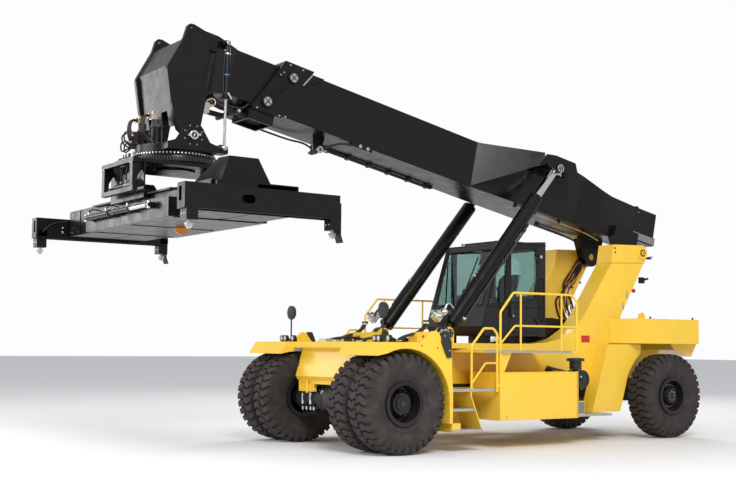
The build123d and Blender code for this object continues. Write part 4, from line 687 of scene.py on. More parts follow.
def make_rims():
    for side, name in SIDES:
        drive = Shape()
        out = Vector((0, side, 0))
        rim_studs(drive, side, -0.03, 0.262, 30, 0.017)
        rim_studs(drive, side, 0.06, 0.18, 12, 0.012)
        drive.lathe([(side * -0.029, 0.232), (side * 0.012, 0.2), (side * -0.029, 0.2)], (0, 0, 0), "rim_paint", 64)
        for r, y in ((0.352, 0.222), (0.322, 0.2)):
            drive.lathe([(side * (y - 0.008), r - 0.008), (side * (y + 0.004), r - 0.005),
                (side * (y + 0.004), r + 0.005), (side * (y - 0.008), r + 0.008)], (0, 0, 0), "rim_paint", 72)
        drive.rod(out * 0.139, out * 0.165, 0.118, "rim_paint", 40)
        drive.rod(out * 0.16, out * 0.18, 0.052, "dark_plastic", 24)
        drive.bolts(around(out * 0.165, 0.094, 10), out, 0.011, "cast_steel")
        drive.bolts(around(out * 0.139, 0.148, 16, "y", 8), out, 0.01, "cast_steel")
        drive.tube([(0.332, side * 0.02, 0.05), (0.33, side * 0.1, 0.04), (0.318, side * 0.17, 0.03)], 0.006, "brass")
        place = Matrix.Translation((DRIVE.x, side * 1.83, DRIVE.z))
        drive.make(f"drive_hub_{name}", f"drive_wheels_{name}", place, 0.0015, 30)
        steer = Shape()
        rim_studs(steer, side, 0.07, 0.215, 20, 0.018)
        steer.rod(out * 0.174, out * 0.195, 0.105, "rim_paint", 40)
        steer.bolts(around(out * 0.174, 0.122, 10), out, 0.01, "cast_steel")
        steer.bolts(around(out * 0.195, 0.082, 8), out, 0.01)
        for r, y in ((0.352, 0.222), (0.318, 0.19)):
            steer.lathe([(side * (y - 0.008), r - 0.008), (side * (y + 0.004), r - 0.005),
                (side * (y + 0.004), r + 0.005), (side * (y - 0.008), r + 0.008)], (0, 0, 0), "rim_paint", 72)
        place = Matrix.Translation((AXLE_X - WHEELBASE, side * 1.41, DRIVE.z))
        steer.make(f"steer_hub_{name}", f"steer_wheel_{name}", place, 0.0015, 30)


# ---- boom
def pin_cover(shape, s, n, y, radius, bolts=4):
    """A pin's cover with a bright disc, a dark ring and crossed keeper bars."""
    face_ring(shape, (s, y, n), radius * 0.8, radius * 1.04, 0.01, "black_paint")
    shape.peg((s, y - 0.001, n), "y", y + 0.006, radius * 0.76, "zinc", 36)
    turn = tip(58)
    for quarter in (0, 90):
        spin = turn @ tip(quarter)
        shape.box((s - radius * 0.7, y + 0.004, n - radius * 0.09), (s + radius * 0.7, y + 0.01, n + radius * 0.09),
            "cast_steel", spin)
    shape.bolts(around((s, y + 0.005, n), radius * 0.5, bolts, "y", 13), OUT, radius * 0.1)


def make_boom_details():
    trim = Shape()
    for _ in trim.sides():
        for s, n in ((8.154, 0.912), (8.54, 0.369)):
            pin_cover(trim, s, n, 0.535, 0.098)
        run = Vector((8.54 - 8.154, 0, 0.369 - 0.912))
        along, across = run.normalized(), Vector((0.815, 0, 0.58))
        start = Vector((8.154, 0, 0.912))
        corners = [start + along * a + across * b for a, b in ((0.11, -0.065), (0.56, -0.065), (0.56, 0.065),
            (0.11, 0.065))]
        trim.prism([(c.x, c.z) for c in corners], "y", COLLAR_SIDE, 0.517)
        for step in range(9):
            a = 0.135 + step * 0.05
            corners = [start + along * (a + d) + across * b for d, b in ((0, -0.056), (0.022, -0.056), (0.022, 0.056),
                (0, 0.056))]
            trim.prism([(c.x, c.z) for c in corners], "y", 0.517, 0.526)
        trim.prism([(7.79, 1.09), (7.812, 1.1), (7.955, 0.862), (7.933, 0.852)], "y", COLLAR_SIDE, 0.511, "zinc")
        trim.prism([(7.56, 1.098), (7.802, 1.098), (7.925, 0.84)], "y", 0.44, 0.5)
        places = [(8.695, COLLAR_SIDE, 0.215), (8.269, COLLAR_SIDE, 0.215), (8.158, COLLAR_SIDE, 0.235),
            (8.0, COLLAR_SIDE, 1.11), (8.25, COLLAR_SIDE, 1.11), (8.3, COLLAR_SIDE, 0.62)]
        trim.bolts(places, OUT, 0.016)
        # wear pad adjusters: a box with a row of screws on the collar's side
        trim.prism([(8.3, 0.98), (8.42, 0.98), (8.47, 0.85), (8.35, 0.85)], "y", COLLAR_SIDE, 0.528)
        trim.bolts([(8.35, 0.528, 0.945), (8.4, 0.528, 0.885)], OUT, 0.013)
    # guide shoe under the collar, open below
    trim.ring(oblong(8.34, 8.8, -0.1, 0.47), oblong(8.37, 8.77, -0.07, 0.44), "z", 0.01, 0.183)
    trim.box((8.37, -0.07, 0.09), (8.77, 0.44, 0.1), "seal")
    trim.make("boom_collar_trim", "outer_boom", BOOM, 0.002)

    pipes = Shape()
    for y, n in ((-0.405, 0.205), (-0.35, 0.205)):
        pipes.tube([(4.4, y, n + 0.02), (4.5, y, n), (5.7, y, n), (6.95, y, n), (7.08, y + 0.1, n - 0.05),
            (7.18, -0.02, 0.02)], 0.019, "hose", 10)
    pipes.tube([(7.2, -0.05, 0.03), (7.35, -0.2, 0.13), (7.6, -0.38, 0.16), (8.2, -0.4, 0.165)], 0.017, "hose", 10)
    pipes.tube([(6.72, 0.425, 0.205), (6.9, 0.36, 0.19), (7.08, 0.22, 0.1), (7.16, 0.1, 0.02)], 0.018, "hose", 10)
    pipes.tube([(6.72, 0.385, 0.205), (6.92, 0.3, 0.18), (7.1, 0.16, 0.07), (7.18, 0.05, 0.0)], 0.014, "hose", 10)
    for s in (4.5, 4.94, 5.4, 5.84, 6.3, 6.74):
        pipes.box((s - 0.03, -0.44, 0.178), (s + 0.03, -0.315, BOOM_UNDER), "dark_plastic")
        pipes.bolt((s, -0.378, 0.178), DOWN, 0.01)
    pipes.prism([(6.34, 0.25), (6.34, 0.18), (6.76, 0.18), (6.8, 0.25)], "y", 0.36, 0.462)
    for s, n in ((6.61, 0.218), (6.45, 0.218)):
        pipes.peg((s, 0.462, n), "y", 0.486, 0.032, "zinc", 24)
        pipes.bolt((s, 0.486, n), OUT, 0.018)
    # rotary joint that hangs on a bracket under the boom
    pipes.prism([(7.1, BOOM_UNDER), (7.34, BOOM_UNDER), (7.28, -0.02), (7.16, -0.02)], "y", 0.04, 0.07)
    pipes.peg((7.21, -0.07, 0.01), "y", 0.17, 0.052, "cast_steel", 24)
    face_ring(pipes, (7.21, 0.17, 0.01), 0.028, 0.062, 0.02, "zinc")
    pipes.peg((7.3, 0.06, -0.06), "y", 0.19, 0.042, "hose", 20)
    pipes.rod((7.26, -0.02, -0.01), (7.34, 0.05, -0.08), 0.022, "brass", 12)
    pipes.rod((7.12, 0.12, 0.02), (7.05, 0.12, 0.05), 0.018, "zinc", 12)
    # hose along the tail's underside, into the foot
    pipes.tube([(1.75, -0.3, 0.215), (1.1, -0.3, 0.2), (0.55, -0.28, 0.15), (0.36, -0.26, 0.02)], 0.018, "hose", 10)
    pipes.tube([(2.9, 0.36, 0.215), (2.0, 0.36, 0.205), (1.1, 0.36, 0.2), (0.6, 0.34, 0.15)], 0.015, "zinc", 10)
    for s in (1.1, 1.75, 2.4, 2.9):
        pipes.box((s - 0.02, 0.325, 0.19), (s + 0.02, 0.395, BOOM_UNDER), "dark_plastic")
    pipes.box((1.7, -0.335, 0.19), (1.76, -0.265, BOOM_UNDER), "dark_plastic")
    pipes.make("boom_underside_pipes", "outer_boom", BOOM, 0.0, 40)

    rear = Shape()
    for _ in rear.sides():
        face_ring(rear, (2.577, 1.126, 0.974), 0.052, 0.078, 0.012, "zinc")
        rear.peg((2.577, 1.125, 0.974), "y", 1.134, 0.05, "cast_steel", 30)
        rear.box((2.567, 1.133, 0.934), (2.587, 1.141, 1.014), "zinc", tip(20))
        for ds, dn in ((0.115, -0.075), (0.04, -0.125), (-0.045, -0.13)):
            rear.bolt((2.577 + ds, 1.101, 0.974 + dn), OUT, 0.016)
        rear.prism(oblong(-0.862, -0.208, 0.418, 0.562), "y", 0.47, 0.474, "grey_panel")
        rear.prism([(-0.4, 1.076), (-0.36, 1.13), (-0.3, 1.13), (-0.26, 1.075)], "y", 0.24, 0.38)
        rear.bolt((-0.33, 0.31, 1.13), UP, 0.02)
        rear.bolt((-0.33, 0.438, 1.0), OUT, 0.014)
    rear.box((-0.866, -0.36, 0.46), (-0.86, 0.36, 1.02), "grey_panel")
    rear.bolts([(-0.866, y, n) for y in (-0.32, 0.32) for n in (0.5, 0.74, 0.98)], BACK, 0.014)
    rear.make("boom_tail_trim", "outer_boom", BOOM, 0.0015)

    seams = Shape()
    for _ in seams.sides():
        low, high = 0.4498, 0.453
        seams.prism([(4.2, 1.09), (4.2, 1.075), (7.76, 1.075), (7.76, 1.09)], "y", low, high)
        seams.prism([(4.2, 0.262), (4.2, 0.247), (8.16, 0.247), (8.16, 0.262)], "y", low, high)
        seams.prism(oblong(4.6, 4.615, 0.262, 1.075), "y", low, high)
    for s in (4.75, 7.45):
        seams.ring(oblong(s - 0.07, s + 0.07, -0.06, 0.06), oblong(s - 0.03, s + 0.03, -0.03, 0.03), "z", 1.099,
            1.135)
    seams.make("boom_welds", "outer_boom", BOOM, 0.001)


# ---- head, yoke and carriage
def make_head():
    head = Shape()
    for _ in head.sides():
        # weld along the cheek's edge
        head.tube([(-0.16, 0.628, 1.3), (-0.1, 0.628, 1.62)], 0.006, "black_paint")
        face_ring(head, (0, 0.695, 0), 0.046, 0.072, 0.014, "white_metal")
        head.peg((0, 0.694, 0), "y", 0.703, 0.044, "seal", 30)
        head.box((-0.012, 0.702, -0.03), (0.012, 0.711, 0.03), "white_metal", tip(-18))
        for x, z in ((-0.088, 0.012), (0.088, -0.012)):
            head.peg((x, 0.69, z), "y", 0.716, 0.02, "white_metal", 14)
        # damper's top pin, cap and grease point
        face_ring(head, (-0.54, 0.747, 1.52), 0.012, 0.036, 0.012, "zinc")
        head.peg((-0.54, 0.747, 1.52), "y", 0.757, 0.013, "seal")
    # valve block with its pipes at the back edge of each cheek
    for _ in head.sides():
        head.box((-0.3, 0.42, 0.4), (-0.2, 0.6, 0.56), "zinc")
        head.box((-0.22, 0.44, 0.44), (-0.11, 0.56, 0.52))
        for step in range(3):
            y = (0.45 + step * 0.055)
            head.rod((-0.3, y, 0.52), (-0.355, y, 0.525), 0.02, "zinc", 12)
            head.tube([(-0.35, y, 0.525), (-0.4, y, 0.54), (-0.42, y - 0.01, 0.6), (-0.37, y - 0.03, 0.645),
                (-0.28, y - 0.03, 0.6)], 0.014, ("zinc", "hose", "brass")[step])
        head.peg((-0.25, 0.51, 0.56), "z", 0.61, 0.022, "brass", 12)
        # hoses that come out below the inner boom and loop into the head
        for y, drop, slot in ((0.36, 0.0, "hose"), (0.3, 0.03, "brown_hose"), (0.24, 0.05, "brown_hose"),
                (0.16, 0.02, "hose")):
            head.tube([(-1.2, y, 0.74), (-1.0, y, 0.6 - drop), (-0.8, y, 0.6 - drop), (-0.6, y, 0.64 - drop),
                (-0.46, y + 0.02, 0.72), (-0.4, y + 0.03, 0.86)], 0.02, slot, 10)
        head.peg((-0.93, 0.1, 0.54), "y", 0.38, 0.04, "cast_steel", 24)
        head.peg((-0.93, 0.38, 0.54), "y", 0.4, 0.026, "white_metal", 20)
    head.make("head_fittings", "inner_boom", HEAD, 0.0015)

    tube = Shape()
    for _ in tube.sides():
        for s, n in ((8.9, 0.62), (9.05, 0.62)):
            face_ring(tube, (s, 0.4, n), 0.012, 0.03, 0.008, "black_paint")
        tube.prism(oblong(8.84, 9.14, 0.345, 0.31), "y", 0.3995, 0.4035)
    for y in (-0.18, -0.12, 0.12, 0.18):
        tube.tube([(8.36, y, 1.064), (8.8, y, 1.068), (9.18, y, 1.07), (9.42, y, 1.085)], 0.012, "grey_panel")
    tube.make("inner_boom_lines", "inner_boom", BOOM, 0.001)


def make_yoke():
    yoke = Shape()
    for side in (1, -1):
        yoke.bolts(around((0, side * 0.67, 0), 0.155, 8, "y", 22), (0, side, 0), 0.013, "brass")
        face_ring(yoke, (0, side * 0.67, 0), 0.082, 0.13, 0.008, "black_paint", "y", side)
        # slewing motor on each drive: body, valve block, coils and hoses
        y = side * 0.25
        yoke.peg((0.43, y, 0.12), "z", 0.15, 0.1, "cast_steel", 30)
        yoke.peg((0.45, y, 0.15), "z", 0.25, 0.064, "cast_steel", 26)
        yoke.box((0.435, y - 0.055, 0.245), (0.53, y + 0.055, 0.345), "white_metal")
        yoke.box((0.53, y - 0.04, 0.26), (0.575, y + 0.04, 0.335), "brass")
        yoke.peg((0.49, y, 0.34), "z", 0.375, 0.024, "brass", 14)
        yoke.bolts(around((0.43, y, 0.15), 0.084, 8, "z"), UP, 0.012)
        yoke.bolts(around((0.43, y, -0.135), 0.11, 10, "z"), UP, 0.013)
        for turn, slot in ((0.0, "hose"), (0.045, "hose"), (0.09, "brown_hose")):
            yoke.tube([(0.57, y + turn - 0.04, 0.3), (0.65, y + turn, 0.28), (0.7, y + turn + 0.03, 0.18),
                (0.68, y + turn, 0.04), (0.6, y + turn - 0.03, -0.05), (0.52, y + turn, -0.12)], 0.016, slot)
    # hose reel and brass fittings at the right-hand drive
    for step in range(7):
        angle = math.radians(20 + step * 48)
        centre = Vector((0.6, -0.33 + 0.075 * math.cos(angle), 0.02 + 0.085 * math.sin(angle)))
        face_ring(yoke, centre, 0.016, 0.034, 0.03, "brass" if step % 2 else "white_metal", "x", 1, 18)
    yoke.box((0.44, -0.42, -0.135), (0.6, -0.24, 0.12), "dark_plastic")
    for y, z in ((-0.38, 0.1), (-0.3, 0.13), (-0.42, -0.02), (-0.28, -0.06)):
        yoke.peg((0.6, y, z), "x", 0.66, 0.018, "white_metal", 10)
        yoke.tube([(0.66, y, z), (0.72, y - 0.02, z - 0.05), (0.7, y - 0.03, z - 0.16), (0.6, y, -0.13)], 0.013)
    yoke.bolts(around((0, 0, -0.135), 0.575, 26, "z"), UP, 0.017, "cast_steel")
    yoke.lathe([(-0.1355, 0.5), (-0.128, 0.5), (-0.128, 0.545), (-0.1355, 0.55)], (0, 0, 0), "black_paint", 72, "z")
    yoke.peg((0.16, 0.46, -0.134), "z", -0.112, 0.05, "white_metal", 20)
    for _ in yoke.sides():
        yoke.peg((-0.51, DAMPER_Y - 0.036, -0.15), "y", DAMPER_Y - 0.048, 0.05, "black_paint", 24)
        yoke.prism([(-0.6, -0.238), (-0.6, -0.14), (-0.555, -0.102), (-0.465, -0.102), (-0.41, -0.238)], "y", 0.672,
            0.667)
    yoke.make("yoke_fittings", "yoke", HEAD, 0.0015)

    damper = Shape()
    axis_low, axis_high = Vector((-0.51, 0, -0.15)), Vector((-0.54, 0, 1.52))
    along = (axis_low - axis_high).normalized()

    def on(distance, x=0.0, y=0.0):
        return axis_high + along * distance + Vector((x, DAMPER_Y + y, 0))

    for _ in damper.sides():
        collar(damper, on(0.85), on(0.875), 0.043, 0.052, "black_paint")
        collar(damper, on(0.16), on(0.185), 0.043, 0.054, "zinc")
        collar(damper, on(0.5), on(0.52), 0.043, 0.053, "blue_paint")
        damper.rod(on(0.82, 0.0, 0.046), on(0.82, 0.0, 0.09), 0.018, "white_metal", 12)
        damper.tube([on(0.82, 0.0, 0.085), on(0.86, -0.03, 0.088), on(0.9, -0.06, 0.08)], 0.013, "white_metal")
        damper.tube([on(0.13, 0.052, 0.02), on(0.4, 0.06, 0.02), on(0.74, 0.058, 0.02), on(0.82, 0.04, 0.03)], 0.011)
        damper.rod(on(0.12, 0.03, 0.02), on(0.12, 0.066, 0.02), 0.014, "zinc", 10)
    damper.make("damper_fittings", "damper_barrels", HEAD)


def make_carriage():
    top = Shape()
    for place in around((0, 0, -0.285), 0.64, 72, "z"):
        out = Vector((place.x, place.y, 0)).normalized()
        top.rod(place - out * 0.002, place + out * 0.018, 0.013, "white_metal", 8)
    top.lathe([(-0.33, 0.636), (-0.33, 0.66), (-0.345, 0.664), (-0.42, 0.664), (-0.428, 0.636)], (0, 0, 0),
        "black_paint", 96, "z")
    for step in range(96):
        place = Vector((0.664 * math.cos(math.tau * step / 96), 0.664 * math.sin(math.tau * step / 96), -0.38))
        out = Vector((place.x, place.y, 0)).normalized()
        side = Vector((-out.y, out.x, 0))
        verts = [place + side * a + out * b + Vector((0, 0, c)) for a, b, c in ((-0.016, -0.004, -0.035),
            (0.016, -0.004, -0.035), (0.008, 0.022, -0.035), (-0.008, 0.022, -0.035), (-0.016, -0.004, 0.035),
            (0.016, -0.004, 0.035), (0.008, 0.022, 0.035), (-0.008, 0.022, 0.035))]
        top.add(verts, BLOCK_FACES, "cast_steel")
    # side shift cylinder across the carriage, with its rod and hoses
    top.peg((SHIFT_X, 0.05, -0.8), "y", 0.62, 0.04, "grey_panel", 24)
    top.peg((SHIFT_X, -0.3, -0.8), "y", 0.05, 0.046, "black_paint", 24)
    top.peg((SHIFT_X, -0.55, -0.8), "y", -0.3, 0.022, "chrome", 20)
    top.peg((SHIFT_X, 0.6, -0.8), "y", 0.64, 0.05, "black_paint", 24)
    for y in (-0.1, 0.1, 0.3):
        top.peg((SHIFT_X, y, -0.76), "z", -0.72, 0.018, "brass", 10)
        top.tube([(SHIFT_X, y, -0.725), (0.865, y + 0.05, -0.65), (0.86, y + 0.06, -0.56), (0.84, y + 0.03, -0.495)],
            0.014)
    for y in (-0.55, 0.55):
        top.bolts([(0.962, y - 0.03, -0.5), (0.962, y + 0.03, -0.5), (0.962, y, -0.9)], AHEAD, 0.014)
        top.prism([(0.62, -0.49), (0.88, -0.49), (0.88, -0.74), (0.8, -0.6)], "y", y - 0.012, y + 0.012)
    top.box((0.955, -0.6, -0.436), (0.966, 0.6, -0.424), "grey_panel")
    # manifold on the carriage with coils
    top.box((0.64, -0.34, -0.43), (0.8, -0.06, -0.33), "cast_steel")
    for step in range(5):
        y = -0.31 + step * 0.055
        top.peg((0.72, y, -0.332), "z", -0.262, 0.019, "brass" if step % 2 else "dark_plastic", 14)
        top.peg((0.8, y, -0.38), "x", 0.835, 0.015, "white_metal", 10)
        top.tube([(0.83, y, -0.38), (0.868, y, -0.4), (0.872, y, -0.52), (0.8, y, -0.6)], 0.011)
    for _ in top.sides():
        for x in (-0.7, -0.5, 0.5, 0.7):
            top.bolt((x, 0.58, -0.43), UP, 0.02, "cast_steel")
    top.make("carriage_fittings", "slew_carriage", HEAD, 0.0015)


# ---- spreader
def make_spreader():
    shape = Shape()
    # telescope cylinder in front: barrel, glands and clevises over the rod
    x, z = 0.9, -1.19
    shape.peg((x, -1.34, z), "y", -0.42, 0.05, "black_paint", 28)
    shape.peg((x, -0.44, z), "y", -0.38, 0.058, "cast_steel", 28)
    shape.peg((x, -0.38, z), "y", 0.36, 0.042, "black_paint", 28)
    shape.peg((x, 0.34, z), "y", 0.4, 0.052, "cast_steel", 28)
    shape.peg((x, 0.4, z), "y", 1.1, 0.034, "chrome", 28)
    for y in (-1.36, 1.12):
        shape.peg((x, y - 0.02, z - 0.055), "z", z + 0.055, 0.03, "white_metal")
    for y in (-1.28, -0.55, 0.3):
        shape.peg((x, y, z + 0.03), "z", z + 0.095, 0.016, "white_metal", 12)
        shape.tube([(x, y, z + 0.09), (x - 0.04, y + 0.05, z + 0.13), (x - 0.12, y + 0.1, z + 0.125),
            (0.7, y + 0.12, z + 0.1)], 0.012)
    # painted shade: dark brownish sheets over the underside of the tubes, with bands and dark slots
    for y0, y1 in ((-2.5, -1.62), (-1.42, -0.12), (0.12, 1.42), (1.62, 2.5)):
        shape.box((-0.66, y0, -1.389), (-0.05, y1, TUBES_UNDER), "brown_panel")
        shape.box((0.05, y0, -1.389), (0.66, y1, TUBES_UNDER), "brown_panel")
    for y in (-1.52, 0.0, 1.52):
        shape.box((-0.69, y - 0.05, -1.404), (0.69, y + 0.05, TUBES_UNDER))
    for x0 in (-0.42, 0.3):
        for y0 in (-0.9, 0.42):
            shape.box((x0, y0, -1.392), (x0 + 0.12, y0 + 0.48, -1.3885), "seal")
    # orange guard below the middle of the near tube
    shape.prism(arc((-0.115, -1.37), 0.13, 180, 360, 20), "y", 0.05, 0.075, "orange_paint")
    # top of the tubes: covers with their bolts
    for y0, y1 in ((-2.6, -1.9), (1.9, 2.6)):
        shape.box((-0.6, y0, -0.9602), (-0.06, y1, COVERS_TOP))
        shape.box((0.06, y0, -0.9602), (0.6, y1, COVERS_TOP))
        for x1 in (-0.56, -0.1, 0.1, 0.56):
            shape.bolts([(x1, y0 + 0.04, COVERS_TOP), (x1, (y0 + y1) / 2, COVERS_TOP), (x1, y1 - 0.04, COVERS_TOP)],
                UP, 0.013)
    for _ in shape.sides():
        for y in (2.3, 2.55):
            shape.bolts([(0.69, y, -1.02), (0.69, y, -1.32)], AHEAD, 0.014)
            shape.bolts([(-0.69, y, -1.02), (-0.69, y, -1.32)], BACK, 0.014)
        shape.box((0.688, 2.2, -1.35), (0.7, 2.69, -0.97))
        shape.box((-0.7, 2.2, -1.35), (-0.688, 2.69, -0.97))
    shape.make("spreader_fittings", "spreader", HEAD, 0.0015)


def make_end_beams():
    for side, name in SIDES:
        beam = Shape(side)
        # edge of the oblong hole
        hole = arc((0.288 + 0.045, -1.246), 0.058, -90, 90, 10) + arc((0.288 - 0.045, -1.246), 0.058, 90, 270, 10)
        rim = arc((0.288 + 0.045, -1.246), 0.072, -90, 90, 10) + arc((0.288 - 0.045, -1.246), 0.072, 90, 270, 10)
        beam.ring(rim, hole, "y", 3.016, 3.0295)
        for x in (-1.13, 1.13):
            face = 3.015
            beam.bolts([(x - 0.055, face, -1.18), (x + 0.055, face, -1.18), (x - 0.055, face, -1.33),
                (x + 0.055, face, -1.33)], OUT, 0.016, "white_metal")
        # lock housings: plates, sensor rods and their boxes
        for x in (-1.1295, 1.1295):
            y = 2.9265
            for dx in (-0.087, 0.087):
                way = 1 if dx > 0 else -1
                beam.bolts([(x + dx * 0.98, y - 0.04, -1.5), (x + dx * 0.98, y + 0.04, -1.5)], (way, 0, 0), 0.012,
                    "white_metal")
            beam.peg((x - 0.05, 2.855, -1.585), "z", -1.42, 0.012, "zinc", 12)
            beam.peg((x + 0.05, 2.855, -1.585), "z", -1.42, 0.012, "zinc", 12)
            beam.box((x - 0.075, 2.8, -1.4), (x + 0.075, 2.842, -1.3), "dark_plastic")
            beam.tube([(x, 2.8, -1.33), (x, 2.74, -1.3), (x * 0.93, 2.74, -1.22), (x * 0.8, 2.77, -1.15),
                (x * 0.62, 2.785, -1.12)], 0.012)
            beam.peg((x - 0.04, 3.012, -1.5), "y", 3.026, 0.02, "white_metal")
        # top flange, stiffeners and their bolts
        beam.box((-1.19, 3.016, -1.086), (1.24, 3.029, -1.08))
        for x in (-0.62, 0.8):
            beam.box((x, 2.792, -1.425), (x + 0.014, 2.8, -1.085))
        beam.bolts([(x, 2.8, z) for x in (0.64, 0.78) for z in (-1.23, -1.31)], IN, 0.016, "white_metal")
        # side lamp, without lettering
        beam.box((-0.3, 3.016, -1.27), (-0.22, 3.0295, -1.22), "dark_plastic")
        beam.make(f"end_beam_fittings_{name}", f"end_beam_{name}", HEAD, 0.001)


# ---- lift cylinders
def collar(shape, start, end, inner, outer, slot, steps=36):
    """A band round a tube, open in the middle."""
    start, end = shape.turned(start), shape.turned(end)
    way = end - start
    band = Shape()
    band.lathe([(0, inner), (0, outer), (way.length, outer), (way.length, inner)], (0, 0, 0), slot, steps, "z")
    shape.merge(band, Matrix.Translation(start) @ way.to_track_quat("Z", "Y").to_matrix().to_4x4())


def make_lift_cylinders():
    along = (LIFT_EYE - LIFT_FOOT).normalized()
    out = Vector((along.z, 0, -along.x))  # forward and up, away from the cab

    def on(distance, ahead=0.0, across=0.0):
        return LIFT_FOOT + along * distance + out * ahead + Vector((0, LIFT_Y + across, 0))

    for side, name in SIDES:
        parts = Shape(side)
        collar(parts, on(0.215), on(0.245), 0.125, 0.141, "black_paint")
        for d in (1.0, 1.9, 2.65):
            collar(parts, on(d), on(d + 0.035), 0.125, 0.138, "black_paint")
        # rigid pipe along the back, with clamps and its banjo at the gland
        parts.tube([on(0.42, -0.1, 0.1), on(0.52, -0.115, 0.115), on(1.6, -0.115, 0.115), on(2.58, -0.115, 0.115),
            on(2.7, -0.1, 0.1)], 0.022, "pipe_paint", 12, 6)
        parts.rod(on(2.7, -0.092, 0.092), on(2.7, -0.125, 0.125), 0.034)
        parts.rod(on(0.42, -0.092, 0.092), on(0.42, -0.13, 0.13), 0.036, "zinc")
        for d in (0.95, 1.75, 2.55):
            parts.rod(on(d, -0.115, 0.115), on(d + 0.06, -0.115, 0.115), 0.032, "dark_plastic", 12)
        # load holding valve at the foot, silver, with its fittings
        parts.rod(on(0.34, 0.128), on(0.24, 0.24), 0.05, "cast_steel", 20)
        parts.box(*local_box(on(0.12, 0.315), (0.072, 0.07, 0.078)), "white_metal", tilt(along, out))
        parts.box(*local_box(on(0.27, 0.262), (0.05, 0.05, 0.046)), "white_metal", tilt(along, out))
        for start, end, radius, slot, sides in (((0.12, 0.38), (0.1, 0.47), 0.034, "zinc", 16),
                ((0.12, 0.31, 0.06), (0.12, 0.31, 0.135), 0.03, "zinc", 14),
                ((0.12, 0.31, 0.13), (0.12, 0.31, 0.155), 0.022, "brass", 12),
                ((0.27, 0.26, 0.04), (0.27, 0.26, 0.105), 0.022, "white_metal", 12),
                ((0.32, 0.27), (0.37, 0.275), 0.026, "zinc", 12), ((0.03, 0.3), (0.06, 0.3), 0.03, "zinc", 12),
                ((0.17, 0.37), (0.17, 0.41), 0.018, "green_tag", 12)):
            parts.rod(on(*start), on(*end), radius, slot, sides)
        parts.tube([on(0.36, 0.275), on(0.43, 0.285), on(0.47, 0.22), on(0.46, 0.13)], 0.016, "white_metal", 10)
        parts.tube([on(0.12, 0.34, -0.06), on(0.22, 0.37, -0.07), on(0.34, 0.33, -0.06), on(0.42, 0.22, -0.05),
            on(0.46, 0.13, -0.03)], 0.02, "hose", 10)
        # small pressure line with its sensor further up
        parts.tube([on(0.58, 0.15), on(0.85, 0.155), on(1.25, 0.15)], 0.01)
        parts.rod(on(1.22, 0.13), on(1.22, 0.175), 0.022, "white_metal", 14)
        parts.rod(on(1.3, 0.13), on(1.3, 0.16), 0.016, "zinc", 12)
        if side < 0:
            ring_turn = Matrix.Translation(parts.turned(on(0.41, 0.3))) @ Matrix.Rotation(math.radians(90), 4, "Z")
            loop = Shape()
            loop.tube([(0.0, 0.0, -0.07), (0.0, 0.05, -0.03), (0.0, 0.055, 0.03), (0.0, 0.0, 0.07),
                (0.0, -0.05, 0.03), (0.0, -0.04, -0.04)], 0.022, "hose", 10)
            parts.merge(loop, ring_turn)
        parts.make(f"lift_cylinder_pipes_{name}", f"lift_barrel_{name}", CHASSIS, 0.0015)


def tilt(along, out):
    """Axes that stand with a cylinder: x along it, z forward of it."""
    across = Vector(along).cross(out)
    return Matrix((out, across, along)).transposed()


def local_box(centre, half):
    """Corners of a block round a centre."""
    half = Vector(half)
    return centre - half, centre + half


# ---- chassis
def make_treads():
    treads = Shape()
    for _ in treads.sides():
        for front, rear, top in ((-0.948, -1.589, 0.37), (-0.948, -1.4, 0.71), (-0.948, -1.84, 1.03)):
            treads.box((rear - 0.002, 1.6, top - 0.042), (front, 2.074, top + 0.003), "bright_steel")
        for x0, x1, y0, y1 in ((-3.63, -1.95, 1.01, 2.06), (-1.884, -1.606, 1.01, 2.06)):
            treads.box((x0, y0, 1.665), (x1, y1, 1.669), "bright_steel")
            treads.box((x0, 2.068, 1.632), (x1, 2.0735, 1.667), "bright_steel")
        treads.box((-4.99, 1.02, 0.52), (-3.96, 1.69, 0.5235), "bright_steel")
        treads.box((-5.0, 1.698, 0.482), (-3.95, 1.704, 0.522), "bright_steel")
        treads.box((-1.45, 0.62, 1.79), (-0.98, 0.86, 1.7935), "bright_steel")
    treads.make("step_plates", "chassis", CHASSIS, 0.0012, 30)


